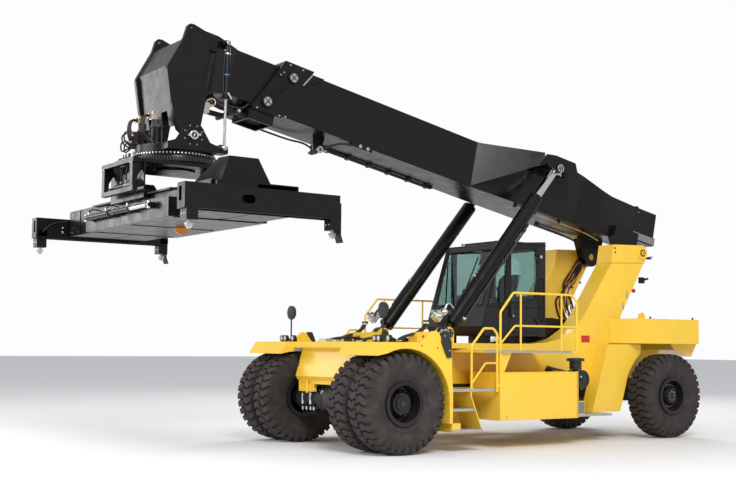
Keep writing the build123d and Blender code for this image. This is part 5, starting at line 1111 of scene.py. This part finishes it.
def make_deck():
    deck = Shape()
    for side in deck.sides():
        # fastener, edge of the fender, seams drawn as painted shade lines, and bolts of the side panel
        for x, z in ((-0.62, 1.7), (-0.3, 1.735)):
            deck.bolt((x, 2.08, z), OUT, 0.012, "seal")
        edge = arc((0, 0.81), 0.884, 176, 68, 24)
        rim = arc((0, 0.81), 0.899, 176, 68, 24)
        for a, b, c, d in zip(edge, edge[1:], rim[1:], rim):
            deck.prism([a, b, c, d], "y", 2.0795, 2.0845, "yellow_paint")
        # painted shade: dark orange lines along the side panel, where shade falls in its joints
        deck.box((-1.53, 1.3, 1.615), (-0.95, 1.3055, 1.625), "seam_dark")
        deck.box((-1.88, 1.3, 1.693), (-0.95, 1.3045, 1.699), "seam_dark")
        deck.bolts([(-0.93, 2.081, 0.55), (-0.93, 2.081, 0.8)], OUT, 0.01, "yellow_paint")
        # mud flap behind the drive wheels
        deck.box((-0.93, 1.0, 0.36), (-0.912, 1.52, 1.05), "seal")
        # three elbows with hoses on the left fender's peak
        for step in range(3 if side > 0 else 0):
            x = -0.7 - step * 0.055
            deck.peg((x, 2.088, 1.955), "z", 2.005, 0.021, "white_metal" if step == 1 else "zinc", 12)
            deck.tube([(x, 2.088, 2.0), (x, 2.07, 2.04), (x - 0.01, 2.02, 2.035), (x - 0.02, 1.96, 1.93),
                (x - 0.02, 1.94, 1.8)], 0.014)
        deck.bolts([(-0.74, 2.115, 1.9), (-0.84, 2.115, 1.66)], OUT, 0.014)
        deck.box((-0.86, 1.5, DECK_TOP), (-0.66, 1.7, 1.8))
        # rows of fasteners, and a seam on the fender's top drawn as a painted shade line
        for x in (0.3, -0.1, -0.8):
            deck.bolts([(x, 1.1, DECK_TOP), (x, 1.95, DECK_TOP)], UP, 0.012, "yellow_paint")
        deck.box((-0.9, 0.936, 1.789), (0.4, 0.941, 1.7925), "seam_dark")
    # hatches of the deck
    for x0, x1, y0, y1 in ((-0.95, -0.35, -0.5, 0.5), (-0.28, 0.16, -0.42, 0.42)):
        deck.box((x0, y0, DECK_TOP), (x1, y1, 1.798), "yellow_paint")
        deck.bolts([(x, y, 1.798) for x in (x0 + 0.04, x1 - 0.04) for y in (y0 + 0.04, 0, y1 - 0.04)], UP, 0.011,
            "cast_steel")
    # nose: fasteners and a small cover; the lettered place stays bare
    for y, z in ((-0.83, 1.42), (-0.83, 1.37), (0.83, 1.42)):
        x = 0.152 + (1.65 - z) * 0.13 / 0.46
        deck.peg((x - 0.004, y, z), "x", x + 0.01, 0.014, "zinc", 12)
    deck.prism([(-0.3, 0.955), (-0.27, 0.985), (-0.2, 0.985), (-0.19, 0.955)], "x", 0.262, 0.292, "yellow_paint")
    deck.make("deck_trim", "chassis", CHASSIS, 0.0012, 30)

    brakes = Shape()
    for step, y in enumerate((-0.79, -0.66, -0.53, -0.42)):
        x = 0.165
        brakes.peg((x, y, 0.7), "z", 0.925, 0.034, "chrome" if step % 2 == 0 else "black_paint", 24)
        brakes.peg((x, y, 0.66), "z", 0.7, 0.042, "black_paint", 24)
        brakes.peg((x, y, 0.6), "z", 0.66, 0.02, "white_metal")
        brakes.tube([(x, y, 0.61), (x - 0.02, y + 0.01, 0.55), (x - 0.1, y + 0.04, 0.53), (x - 0.16, y + 0.06, 0.6)],
            0.014)
    brakes.box((0.12, -0.83, 0.905), (0.21, -0.38, 0.926))
    brakes.peg((0.1, -0.1, 0.9), "x", 0.2, 0.055, "white_metal", 24)
    brakes.peg((0.1, 0.06, 0.8), "x", 0.19, 0.045, "zinc", 24)
    brakes.box((0.03, -0.2, 0.74), (0.11, 0.14, 0.96), "cast_steel")
    for y in (-0.15, -0.02, 0.1):
        brakes.tube([(0.1, y, 0.92), (0.16, y, 1.0), (0.16, y + 0.02, 1.08), (0.13, y + 0.03, 1.14)], 0.016)
    brakes.make("brake_accumulators", "chassis", CHASSIS, 0.001)

    axle = Shape()
    for _ in axle.sides():
        axle.bolts(around((0, 0.62, 0.81), 0.225, 14, "y"), OUT, 0.016, "cast_steel")
        axle.tube([(0.16, 0.3, 0.9), (0.2, 0.5, 0.93), (0.19, 0.8, 0.9), (0.14, 0.95, 0.88)], 0.015)
    axle.bolts(around((0.255, 0, 0.81), 0.17, 12, "x"), AHEAD, 0.017, "cast_steel")
    axle.make("drive_axle_fittings", "chassis", CHASSIS, 0.001)


def make_feet():
    feet = Shape()
    for _ in feet.sides():
        for y, way in ((1.125, 1), (0.835, -1)):
            feet.peg((-1.62, y, 1.96), "y", y + way * 0.016, 0.074, "cast_steel", 30)
            feet.bolts(around((-1.62, y + way * 0.016, 1.96), 0.048, 4, "y", 45), (0, way, 0), 0.012)
            feet.bolt((-1.3, y, 1.88), (0, way, 0), 0.012, "yellow_paint")
        for x in (-1.5, -1.2):
            feet.box((x - 0.012, 1.125, DECK_TOP), (x + 0.012, 1.175, 1.86), "yellow_paint")
        # hoses from the valve to a bulkhead on the deck
        for step, slot in enumerate(("hose", "hose", "brown_hose")):
            y = (0.9 + step * 0.05)
            feet.tube([(-0.66, y, 1.792), (-0.69, y, 1.85), (-0.86, y, 1.915), (-1.06, y, 1.965), (-1.18, y, 2.04),
                (-1.24, y, 2.13)], 0.016, slot, 10)
            feet.peg((-0.66, y, DECK_TOP), "z", 1.83, 0.023, "zinc", 10)
            feet.rod((-1.235, y, 2.115), (-1.25, y, 2.15), 0.022, "white_metal", 10)
        feet.box((-0.7, 0.84, DECK_TOP), (-0.6, 1.06, 1.806))
        feet.box((-1.27, 0.87, 2.14), (-1.23, 1.03, 2.18), "cast_steel")
        # small valve block on the deck beside the foot
        feet.box((-1.05, 0.7, DECK_TOP), (-0.9, 0.8, 1.87), "cast_steel")
        feet.peg((-0.93, 0.75, 1.87), "z", 1.92, 0.02, "brass", 10)
    feet.make("lift_foot_fittings", "chassis", CHASSIS, 0.0015)

    loom = Shape()
    for _ in loom.sides():
        for step in range(4):
            y = (0.44 + 0.045 * step)
            loom.tube([(-0.93, y, 1.792), (-0.8, y, 1.86), (-0.55, y, 1.88), (-0.3, y + 0.02, 1.85),
                (-0.12, y + 0.05, 1.792)], 0.017, "hose" if step != 2 else "brown_hose")
            loom.peg((-0.12, y + 0.05, DECK_TOP), "z", 1.82, 0.023, "zinc", 10)
        loom.box((-0.62, 0.42, DECK_TOP), (-0.56, 0.62, 1.905), "dark_plastic")
    loom.box((-0.2, -0.62, DECK_TOP), (-0.04, -0.4, 1.85), "white_metal")
    loom.make("deck_hoses", "chassis", CHASSIS, 0.0, 40)


def make_lamps():
    lamps = Shape()
    for middle_y in (-1.5, 1.5):
        for offset in (-0.17, -0.05, 0.22):
            y = middle_y + offset
            face_ring(lamps, (0.1, y, 1.85), 0.049, 0.058, 0.02, "dark_plastic", "x", 1, 36)
            lamps.lathe([(0.112, 0.001), (0.112, 0.047), (0.118, 0.04), (0.123, 0.022), (0.124, 0.001)], (0, y, 1.85),
                "lamp", 36, "x")
            for fin in range(4):
                lamps.peg((0.058 + fin * 0.009, y, 1.85), "x", 0.062 + fin * 0.009, 0.0585, "dark_plastic", 24)
            lamps.bolt((0.068, y, 1.906), UP, 0.008)
    for _ in lamps.sides():
        lamps.bolts([(0.03, 1.465, 2.1), (0.03, 1.465, 1.95)], AHEAD, 0.006)
        face_ring(lamps, (0.01, 1.465, 2.32), 0.108, 0.124, 0.01, "dark_plastic", "x", -1, 44)
        lamps.peg((0.0095, 1.465, 2.32), "x", 0.0045, 0.109, "mirror_glass", 44)
        lamps.lathe([(0.05, 0.001), (0.05, 0.118), (0.06, 0.095), (0.067, 0.05), (0.069, 0.001)], (0, 1.465, 2.32),
            "dark_plastic", 44, "x")
        lamps.peg((0.03, 1.465, 2.19), "z", 2.235, 0.022, "dark_plastic")
        lamps.box((0.005, 1.435, DECK_TOP), (0.055, 1.495, 1.8), "dark_plastic")
    lamps.make("lamps_and_mirror_trim", "chassis", CHASSIS)


# ---- cab
def shrink(outline, gap):
    """A convex outline drawn in (or, below zero, out) by a gap."""
    count = len(outline)
    pairs = zip(outline, outline[1:] + outline[:1])
    area = sum(a[0] * b[1] - b[0] * a[1] for a, b in pairs)
    sense = 1 if area > 0 else -1
    drawn = []
    for i in range(count):
        a, b, c = (Vector(outline[(i + k) % count]) for k in (-1, 0, 1))
        first, second = (b - a).normalized(), (c - b).normalized()
        turn = first.x * second.y - first.y * second.x
        along = (1 - first.dot(second)) / turn * gap * sense
        drawn.append((b.x - first.y * gap * sense - first.x * along * sense,
            b.y + first.x * gap * sense - first.y * along * sense))
    return drawn


QUARTER = [(-2.76, 2.5), (-3.06, 3.53), (-3.18, 3.56), (-3.18, 2.54)]
DOOR_PANE = [(-3.285, 2.525), (-3.285, 3.53), (-3.905, 3.575), (-3.905, 2.635)]


def screen_point(y, z, proud=0.0):
    """A point on the windshield's outer face, and proud of it."""
    x = -2.68 - 0.028 - (z - 2.44) * 0.36 / 1.12
    return Vector((x + proud, y, z))


def make_cab():
    trim = Shape()
    for _ in trim.sides():
        trim.ring(shrink(QUARTER, -0.022), shrink(QUARTER, 0.006), "y", 0.8145, 0.8195, "seal")
        # belt moulding, skirt seam and panel edges
        trim.box((-4.148, CAB_SIDE, 2.452), (-3.965, 0.821, 2.47))
        trim.box((-3.225, CAB_SIDE, 2.452), (-2.69, 0.821, 2.47))
        trim.box((-4.148, CAB_SIDE, 2.08), (-3.965, 0.819, 2.086), "seal")
        trim.box((-3.225, CAB_SIDE, 2.08), (-2.6, 0.819, 2.086), "seal")
        trim.box((-4.15, 0.812, 3.64), (-3.06, 0.826, 3.655), "seal")
        # grab handle beside the door
        trim.tube([(-3.05, CAB_SIDE, 2.3), (-3.06, 0.862, 2.32), (-3.09, 0.872, 2.6), (-3.12, 0.872, 3.05),
            (-3.13, 0.862, 3.33), (-3.13, CAB_SIDE, 3.35)], 0.014, "black_paint", 10)
        trim.tube([(-4.05, CAB_SIDE, 2.22), (-4.05, 0.86, 2.24), (-4.05, 0.868, 2.6), (-4.05, 0.86, 2.98),
            (-4.05, CAB_SIDE, 3.0)], 0.013, "black_paint", 10)
        trim.bolts([(x, 0.819, 2.02) for x in (-4.08, -3.15, -2.85)], OUT, 0.01, "cast_steel")
        trim.peg((-3.99, 0.86, 3.42), "y", 0.875, 0.03, "white_metal", 18)
        trim.box((-4.02, CAB_SIDE, 3.38), (-3.96, 0.862, 3.46), "dark_plastic")
    # windshield seal and wiper
    ring_outer = [(-0.718, 2.474), (0.718, 2.474), (0.708, 3.548), (-0.708, 3.548)]
    ring_inner = [(-0.69, 2.5), (0.69, 2.5), (0.68, 3.52), (-0.68, 3.52)]
    for i in range(4):
        j = (i + 1) % 4
        corners = [ring_outer[i], ring_outer[j], ring_inner[j], ring_inner[i]]
        verts = [screen_point(y, z, 0.02) for y, z in corners] + [screen_point(y, z, 0.034) for y, z in corners]
        trim.add(verts, BLOCK_FACES, "seal")
    trim.rod(screen_point(0.1, 2.46, 0.0), screen_point(0.1, 2.46, 0.07), 0.026, "dark_plastic", 18)
    trim.tube([screen_point(0.1, 2.46, 0.06), screen_point(0.12, 2.7, 0.06), screen_point(0.18, 3.02, 0.052)], 0.011,
        "seal")
    trim.tube([screen_point(0.1, 2.62, 0.044), screen_point(0.18, 3.02, 0.046), screen_point(0.25, 3.4, 0.044)],
        0.013, "seal")
    # roof: gutter, frame of the hatch and two plugs at the brow
    trim.ring(oblong(-4.155, -3.045, -0.822, 0.822), oblong(-4.14, -3.08, -0.8, 0.8), "z", 3.628, 3.642)
    trim.ring(oblong(-3.93, -3.27, -0.53, 0.53), oblong(-3.89, -3.31, -0.49, 0.49), "z", 3.664, 3.712, "seal")
    for y in (-0.5, 0.5):
        trim.peg((-3.2, y, 3.67), "z", 3.705, 0.022, "dark_plastic")
    # rear window seal
    trim.ring(oblong(-0.665, 0.665, 2.675, 3.585), oblong(-0.632, 0.632, 2.708, 3.552), "x", -4.156, -4.148, "seal")
    trim.make("cab_trim", "chassis", CHASSIS, 0.001)

    for side, name in SIDES:
        door = Shape(side)
        door.ring(shrink(DOOR_PANE, -0.02), shrink(DOOR_PANE, 0.008), "y", 0.8145, 0.8195, "seal")
        edge = [(-3.238, 1.998), (-3.238, 3.572), (-3.952, 3.615), (-3.952, 1.998)]
        door.ring(edge, shrink(edge, 0.014), "y", 0.8145, 0.818, "cab_paint")
        door.box((-3.9, CAB_SIDE, 2.452), (-3.28, 0.821, 2.47))
        press = [(-3.32, 2.1), (-3.32, 2.4), (-3.87, 2.4), (-3.87, 2.1)]
        door.ring(press, shrink(press, 0.018), "y", 0.8145, 0.8185, "cab_paint")
        door.peg((-3.315, 0.84, 2.3), "y", 0.862, 0.02, "zinc", 18)
        door.box((-3.335, CAB_SIDE, 2.27), (-3.295, 0.832, 2.5), "dark_plastic")
        door.tube([(-3.6, 0.77, 2.46), (-3.6, 0.735, 2.47), (-3.75, 0.735, 2.47), (-3.75, 0.77, 2.46)], 0.012,
            "dark_plastic")
        door.make(f"door_trim_{name}", f"door_{name}", CHASSIS, 0.001)

    inside = Shape()
    # monitor, levers, belts, column, pedals, mat and switches
    inside.box((-3.02, -0.5, 2.52), (-2.98, -0.26, 2.7), "dark_plastic", tip(-15))
    inside.box((-3.024, -0.485, 2.535), (-3.0225, -0.275, 2.685), "screen", tip(-15))
    inside.rod((-2.98, -0.38, 2.4), (-3.0, -0.38, 2.54), 0.016, "dark_plastic", 12)
    for _ in inside.sides():
        inside.rod((-3.42, 0.31, 2.645), (-3.4, 0.31, 2.78), 0.014, "dark_plastic", 14)
        inside.lathe([(2.775, 0.002), (2.775, 0.022), (2.8, 0.031), (2.835, 0.03), (2.862, 0.018), (2.868, 0.002)],
            (-3.4, 0.31, 0), "dark_plastic", 24, "z")
        inside.box((-3.5, 0.27, 2.65), (-3.44, 0.35, 2.662), "seal")
        inside.tube([(-3.86, 0.24, 2.62), (-3.95, 0.27, 2.95), (-4.02, 0.26, 3.1)], 0.006, "grey_panel")
    inside.rod((-3.28, 0.26, 2.0), (-3.24, 0.26, 3.0), 0.01, "white_metal", 12)
    inside.lathe([(2.99, 0.002), (2.99, 0.02), (3.01, 0.028), (3.035, 0.02), (3.04, 0.002)], (-3.24, 0.26, 0),
        "dark_plastic", 20, "z")
    for x, y in ((-2.9, -0.3), (-2.9, -0.42), (-2.92, 0.34)):
        inside.box((x - 0.03, y - 0.04, 2.02), (x + 0.03, y + 0.04, 2.16), "seal", tip(35))
    inside.box((-4.06, -0.7, 1.992), (-2.78, 0.7, 1.998), "seal")
    inside.box((-4.085, -0.6, 2.0), (-4.02, 0.6, 2.62), "dark_plastic")
    for y in (-0.16, 0.0, 0.16):
        inside.box((-2.912, y - 0.05, 2.5), (-2.902, y + 0.05, 2.53), "screen", tip(38))
    inside.rod((-3.036, 0, 2.7), (-3.02, 0, 2.722), 0.06, "dark_plastic", 28)
    inside.rod((-3.02, -0.02, 2.66), (-2.98, -0.2, 2.68), 0.009, "dark_plastic", 10)
    inside.make("cab_interior", "chassis", CHASSIS, 0.002)


# ---- driver's seat
VOXEL, SWELL_FRAMES, SWELL_CAP = 0.01, 14, 0.014
SEAM_WIDTH, SEAM_DEPTH = 0.012, 0.01
SEAT_X, SEAT_LEAN = -3.6, 10.3


def pad(name, size, centre, turn, crown, seams):
    """A crowned cushion with side bolsters and sewn channels, swollen by a cloth simulation."""
    cells = (14, 14, 4)
    work = bmesh.new()
    grid = {}
    for i in range(cells[0] + 1):
        for j in range(cells[1] + 1):
            for k in range(cells[2] + 1):
                if i in (0, cells[0]) or j in (0, cells[1]) or k in (0, cells[2]):
                    u, v, w = i / cells[0] * 2 - 1, j / cells[1] * 2 - 1, k / cells[2] * 2 - 1
                    round_off = 1 - 0.1 * max(abs(u), abs(w)) ** 6 * abs(v) ** 4
                    lift = crown * (1 - u * u) * (1 - v * v) + 0.6 * crown * abs(v) ** 3 * (1 - u ** 4)
                    grid[i, j, k] = work.verts.new((u * size[0] / 2 * round_off * (1 - 0.03 * w * w),
                        v * size[1] / 2 * round_off * (1 - 0.03 * w * w),
                        w * size[2] / 2 + (lift if w > 0 else 0) * w))
    for axis in range(3):
        other = [a for a in range(3) if a != axis]
        for end in (0, cells[axis]):
            for a in range(cells[other[0]]):
                for b in range(cells[other[1]]):
                    corner = []
                    for da, db in ((0, 0), (1, 0), (1, 1), (0, 1)):
                        key = [0, 0, 0]
                        key[axis], key[other[0]], key[other[1]] = end, a + da, b + db
                        corner.append(grid[tuple(key)])
                    work.faces.new(corner)
    bmesh.ops.recalc_face_normals(work, faces=work.faces)
    data = bpy.data.meshes.new(name)
    work.to_mesh(data)
    work.free()
    piece = bpy.data.objects.new(name, data)
    bpy.context.scene.collection.objects.link(piece)
    swell(piece)
    mesh = piece.data
    for vert in mesh.vertices:
        if vert.co.z > 0:
            dip = sum(math.exp(-((vert.co.x - seam * size[0]) / SEAM_WIDTH) ** 2) for seam in seams)
            edge = math.exp(-((abs(vert.co.y) - size[1] * 0.34) / SEAM_WIDTH) ** 2)
            vert.co.z -= SEAM_DEPTH * max(dip, edge) * (1 if abs(vert.co.y) < size[1] * 0.36 else 0)
    mesh.transform(Matrix.Translation(Vector(centre) + Vector((AXLE_X, 0, 0))) @ turn)
    smooth = piece.modifiers.new("soft", "SUBSURF")
    smooth.levels = smooth.render_levels = 1
    mesh.materials.append(LOOK["seat_fabric"])
    mesh.polygons.foreach_set("use_smooth", [True] * len(mesh.polygons))
    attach(piece, "chassis")
    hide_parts("driver_seat")
    return piece


def swell(piece):
    """Remesh, blow up with a little pressure, and keep each point within the cap."""
    scene = bpy.context.scene
    remesh = piece.modifiers.new("voxels", "REMESH")
    remesh.mode = "VOXEL"
    remesh.voxel_size = VOXEL
    bake(piece)
    start = [v.co.copy() for v in piece.data.vertices]
    cloth = piece.modifiers.new("swell", "CLOTH")
    cloth.settings.use_pressure = True
    cloth.settings.uniform_pressure_force = 4.0
    cloth.settings.effector_weights.gravity = 0.0
    cloth.settings.quality = 5
    cloth.point_cache.frame_start, cloth.point_cache.frame_end = 1, SWELL_FRAMES
    for number in range(1, SWELL_FRAMES + 1):
        scene.frame_set(number)
    bake(piece)
    scene.frame_set(1)
    for vert, place in zip(piece.data.vertices, start):
        move = vert.co - place
        if move.length > SWELL_CAP:
            vert.co = place + move.normalized() * SWELL_CAP


def bake(piece):
    """The piece's evaluated mesh becomes its own, and its modifiers go."""
    graph = bpy.context.evaluated_depsgraph_get()
    made = bpy.data.meshes.new_from_object(piece.evaluated_get(graph))
    piece.modifiers.clear()
    piece.data = made


def make_seat():
    seat = Shape()
    x = SEAT_X
    # rigid parts of the seat: suspension, pan, shell, arm rests
    seat.box((x - 0.2, -0.225, 1.992), (x + 0.2, 0.225, 2.08), "dark_plastic")
    for step in range(6):
        z = 2.085 + step * 0.033
        grow = 0.19 + 0.012 * (step % 2)
        seat.box((x - grow, -grow - 0.02, z), (x + grow, grow + 0.02, z + 0.028), "seal")
    seat.box((x - 0.215, -0.235, 2.285), (x + 0.24, 0.235, 2.352), "dark_plastic")
    seat.prism([(x - 0.295, 2.39), (x - 0.282, 2.47), (x - 0.402, 3.115), (x - 0.375, 3.115), (x - 0.255, 2.47),
        (x - 0.255, 2.39)], "y", -0.235, 0.235, "dark_plastic")
    for _ in seat.sides():
        seat.box((x - 0.175, 0.238, 2.385), (x - 0.135, 0.262, 2.62), "dark_plastic")
        seat.box((x - 0.178, 0.278, 2.602), (x + 0.215, 0.342, 2.646), "seat_fabric")
        seat.box((x - 0.15, 0.24, 2.585), (x - 0.13, 0.34, 2.61), "dark_plastic")
    seat.tube([(x + 0.16, 0.25, 2.33), (x + 0.2, 0.27, 2.33), (x + 0.23, 0.27, 2.3)], 0.01, "orange_lens")
    made = seat.make("seat_frame", "chassis", CHASSIS, 0.006, 35, 2)
    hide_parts("driver_seat")
    level = Matrix.Identity(4)
    lean = Matrix.Rotation(math.radians(90 - SEAT_LEAN), 4, "Y")
    pad("seat_cushion", (0.48, 0.48, 0.08), (x + 0.01, 0, 2.395), level, 0.016, (-0.22, 0.02, 0.24))
    pad("seat_back", (0.59, 0.45, 0.07), (x - 0.262, 0, 2.8), lean, 0.014, (-0.25, 0.0, 0.22))


# ---- towers, tail, tanks
def make_towers():
    tower = Shape()
    for _ in tower.sides():
        face_ring(tower, (FOOT_X, 1.025, 3.62), 0.046, 0.072, 0.01, "seal")
        tower.peg((FOOT_X, 1.034, 3.62), "y", 1.046, 0.04, "yellow_paint", 32)
        tower.peg((FOOT_X, 1.045, 3.62), "y", 1.051, 0.018, "seal", 18)
        for x, z in ((-5.82, 3.682), (-5.828, 3.6)):
            tower.peg((x, 0.999, z), "y", 1.004, 0.02, "seal")
        low, high = 0.9995, 1.0035
        # painted shade: dark orange lines in the joints of the tower's plates
        tower.prism([(-5.4, 3.372), (-6.66, 3.428), (-6.66, 3.421), (-5.4, 3.365)], "y", low, high, "seam_dark")
        tower.prism([(-5.945, 2.325), (-5.65, 1.795), (-5.632, 1.795), (-5.925, 2.325)], "y", low, high, "seam_dark")
        # plate between the tower's sides
        tower.box((-5.76, 0.64, 3.3), (-5.7, 0.96, 3.34), "yellow_paint")
    # plain red plate at each tower's foot, pale strips up its rear edge and a lamp
    for _ in tower.sides():
        tower.box((-5.12, 1.0002, 1.83), (-4.9, 1.005, 1.96), "red_paint")
        for z0, z1 in ((2.7, 2.86), (2.48, 2.62)):
            x0 = -5.95 - (z0 - 2.32) * 0.49
            tower.box((x0 - 0.03, 1.0002, z0), (x0 + 0.01, 1.004, z1), "zinc")
        tower.peg((-6.32, 1.001, 2.86), "y", 1.03, 0.04, "red_lens", 24)
        # connectors and hoses at the back of each tower
        tower.box((-6.78, 0.7, 3.46), (-6.7, 0.9, 3.6))
        tower.peg((-6.78, 0.8, 3.54), "x", -6.86, 0.03, "white_metal", 14)
        tower.rod((-6.7, 0.86, 3.54), (-6.98, 0.86, 3.545), 0.026, "hose", 12)
        tower.rod((-6.96, 0.86, 3.545), (-7.02, 0.86, 3.56), 0.034, "white_metal", 12)
        tower.box((-6.68, 0.92, 3.02), (-6.56, 0.98, 3.14))
        tower.rod((-6.62, 0.95, 3.08), (-6.8, 0.95, 3.12), 0.022, "hose", 12)
    # loom up the right tower's inner face: a loose bundle that fans out on its way down
    slots = ("hose", "hose", "orange_paint", "hose", "white_metal", "brown_hose", "hose", "orange_paint", "hose",
        "hose")
    for step, slot in enumerate(slots):
        y = -0.58 + 0.022 * (step % 3)
        wave = 0.05 * math.sin(step * 2.1)
        fan = step * 0.052
        tower.tube([(-6.52 + fan * 0.35, y, 3.56), (-6.42 + fan * 0.5 + wave, y, 3.34), (-6.24 + fan * 0.6, y, 3.08),
            (-6.02 + fan * 0.2 - wave, y, 2.9), (-6.16 + fan * 0.9, y, 2.7 + wave), (-6.24 + fan + wave, y, 2.48),
            (-6.38 + fan * 1.1, y, 2.3)], 0.011 if step % 3 else 0.02, slot)
    for z, x in ((3.42, -6.5), (2.98, -6.2)):
        tower.box((x, -0.6, z - 0.014), (x + 0.28, -0.552, z + 0.014), "dark_plastic")
    face_ring(tower, (-6.53, -0.6, 3.6), 0.03, 0.07, 0.02, "white_metal")
    tower.make("tower_fittings", "chassis", CHASSIS, 0.001)


def make_tail():
    tail = Shape()
    rear = -7.78
    for _ in tail.sides():
        # tail lamps in the counterweight's back, with bolts and pins on its top
        tail.box((rear, 1.02, 1.95), (rear + 0.02, 1.34, 2.06), "dark_plastic")
        for y, slot in ((1.08, "red_lens"), (1.18, "red_lens"), (1.28, "orange_lens")):
            tail.peg((rear + 0.01, y, 2.005), "x", rear, 0.04, slot, 28)
        tail.bolts([(x, 1.2, 2.3) for x in (-7.4, -7.05, -6.7)], UP, 0.022, "seal")
        tail.peg((-7.55, 1.45, 2.3), "z", 2.345, 0.018, "seal", 14)
        tail.peg((-6.32, 1.45, 2.3), "z", 2.345, 0.018, "seal", 14)
        # tank: cap, edges, bolts and drain; the lettered place stays bare
        tail.peg((-3.55, 1.55, 1.3), "z", 1.345, 0.07, "black_paint", 28)
        tail.peg((-3.55, 1.55, 1.345), "z", 1.365, 0.052, "dark_plastic", 8)
        # painted shade: a dark orange line down the rear edge of the tank's side
        tail.box((-3.74, TANK_SIDE, 0.5), (-3.734, 2.083, 1.292), "seam_dark")
        tail.box((-3.745, TANK_SIDE, 1.28), (-1.955, 2.084, 1.29), "yellow_paint")
        tail.box((-3.745, TANK_SIDE, 0.492), (-1.955, 2.084, 0.502), "yellow_paint")
        tail.bolts([(-2.02, 1.36, 1.3), (-2.3, 1.3, 1.3), (-3.6, 1.2, 1.3)], UP, 0.014, "yellow_paint")
        tail.peg((-2.1, 2.08, 0.56), "y", 2.09, 0.02, "zinc")
        # locker door, latch and edge
        tail.box((-4.29, 1.7, 0.535), (-4.03, 1.705, 0.745), "grey_panel")
        tail.box((-4.05, 1.705, 0.62), (-4.035, 1.712, 0.68), "seal")
        # air cleaner: clips, band, dust valve and rain cap ribs
        for step in range(12):
            a = math.tau * step / 12
            place = Vector((-4.3 + 0.172 * math.cos(a), 1.6, 1.15 + 0.172 * math.sin(a)))
            tail.box(*local_box(place, (0.01, 0.022, 0.01)), "zinc")
        face_ring(tail, (-4.3, 1.65, 1.15), 0.12, 0.155, 0.012, "dark_plastic", "y", 1, 44)
        tail.peg((-4.3, 1.65, 1.15), "y", 1.668, 0.045, "dark_plastic", 26)
        tail.peg((-4.25, 1.65, 1.2), "y", 1.662, 0.018, "white_metal")
        tail.peg((-4.3, 1.56, 0.985), "z", 0.935, 0.03, "seal")
        for z in (1.352, 1.392, 1.432):
            tail.lathe([(z, 0.109), (z, 0.116), (z + 0.012, 0.116), (z + 0.012, 0.109)], (-4.28, 1.48, 0),
                "dark_plastic", 40, "z")
        tail.lathe([(1.529, 0.002), (1.529, 0.15), (1.537, 0.12), (1.543, 0.05), (1.544, 0.002)], (-4.28, 1.48, 0),
            "dark_plastic", 40, "z")
        tail.tube([(-4.3, 1.34, 1.2), (-4.22, 1.22, 1.26), (-4.1, 1.1, 1.3), (-3.98, 1.03, 1.34)], 0.055, "hose", 14)
    # hood: exhaust, bolts and the slats of its grille
    tail.peg((-5.1, -0.4, 2.25), "z", 2.62, 0.06, "cast_steel", 30)
    tail.rod((-5.1, -0.4, 2.6), (-5.13, -0.4, 2.72), 0.056, "cast_steel", 30)
    tail.bolts([(-4.5, y, 2.281) for y in (-0.48, 0, 0.48)], UP, 0.013, "cast_steel")
    tail.box((-4.9, -0.3, 2.262), (-4.5, 0.3, 2.292), "seal")
    for step in range(7):
        x = -4.88 + step * 0.055
        tail.box((x, -0.28, 2.29), (x + 0.02, 0.28, 2.302))
    tail.peg((rear + 0.01, 0.0, 1.9), "x", rear, 0.055, "cast_steel", 28)
    tail.make("tail_and_tank_trim", "chassis", CHASSIS, 0.001)

    rails = Shape()
    for _ in rails.sides():
        for x, z in ((-1.988, 1.669), (-2.445, 1.669), (-3.398, 1.669), (-1.362, 1.034)):
            rails.box((x - 0.04, 2.005, z), (x + 0.04, 2.069, z + 0.008), "yellow_paint")
            rails.bolts([(x - 0.028, 2.02, z + 0.008), (x + 0.028, 2.02, z + 0.008)], UP, 0.007)
    rails.make("rail_feet", "chassis", CHASSIS, 0.001)


# ---- build
make_camera()
make_stage()
LOOK = make_materials()


def dress_solids():
    """Each solid keeps its shape and gets the finish of its material slot."""
    for sub in frame["record"]["subparts"]:
        node = frame["nodes"][sub["node"]]
        node.data.materials.clear()
        node.data.materials.append(LOOK[sub["material_slot"]])


dress_solids()
make_tyres()
make_rims()
make_boom_details()
make_head()
make_yoke()
make_carriage()
make_spreader()
make_end_beams()
make_lift_cylinders()
make_treads()
make_deck()
make_feet()
make_lamps()
make_cab()
make_seat()
make_towers()
make_tail()
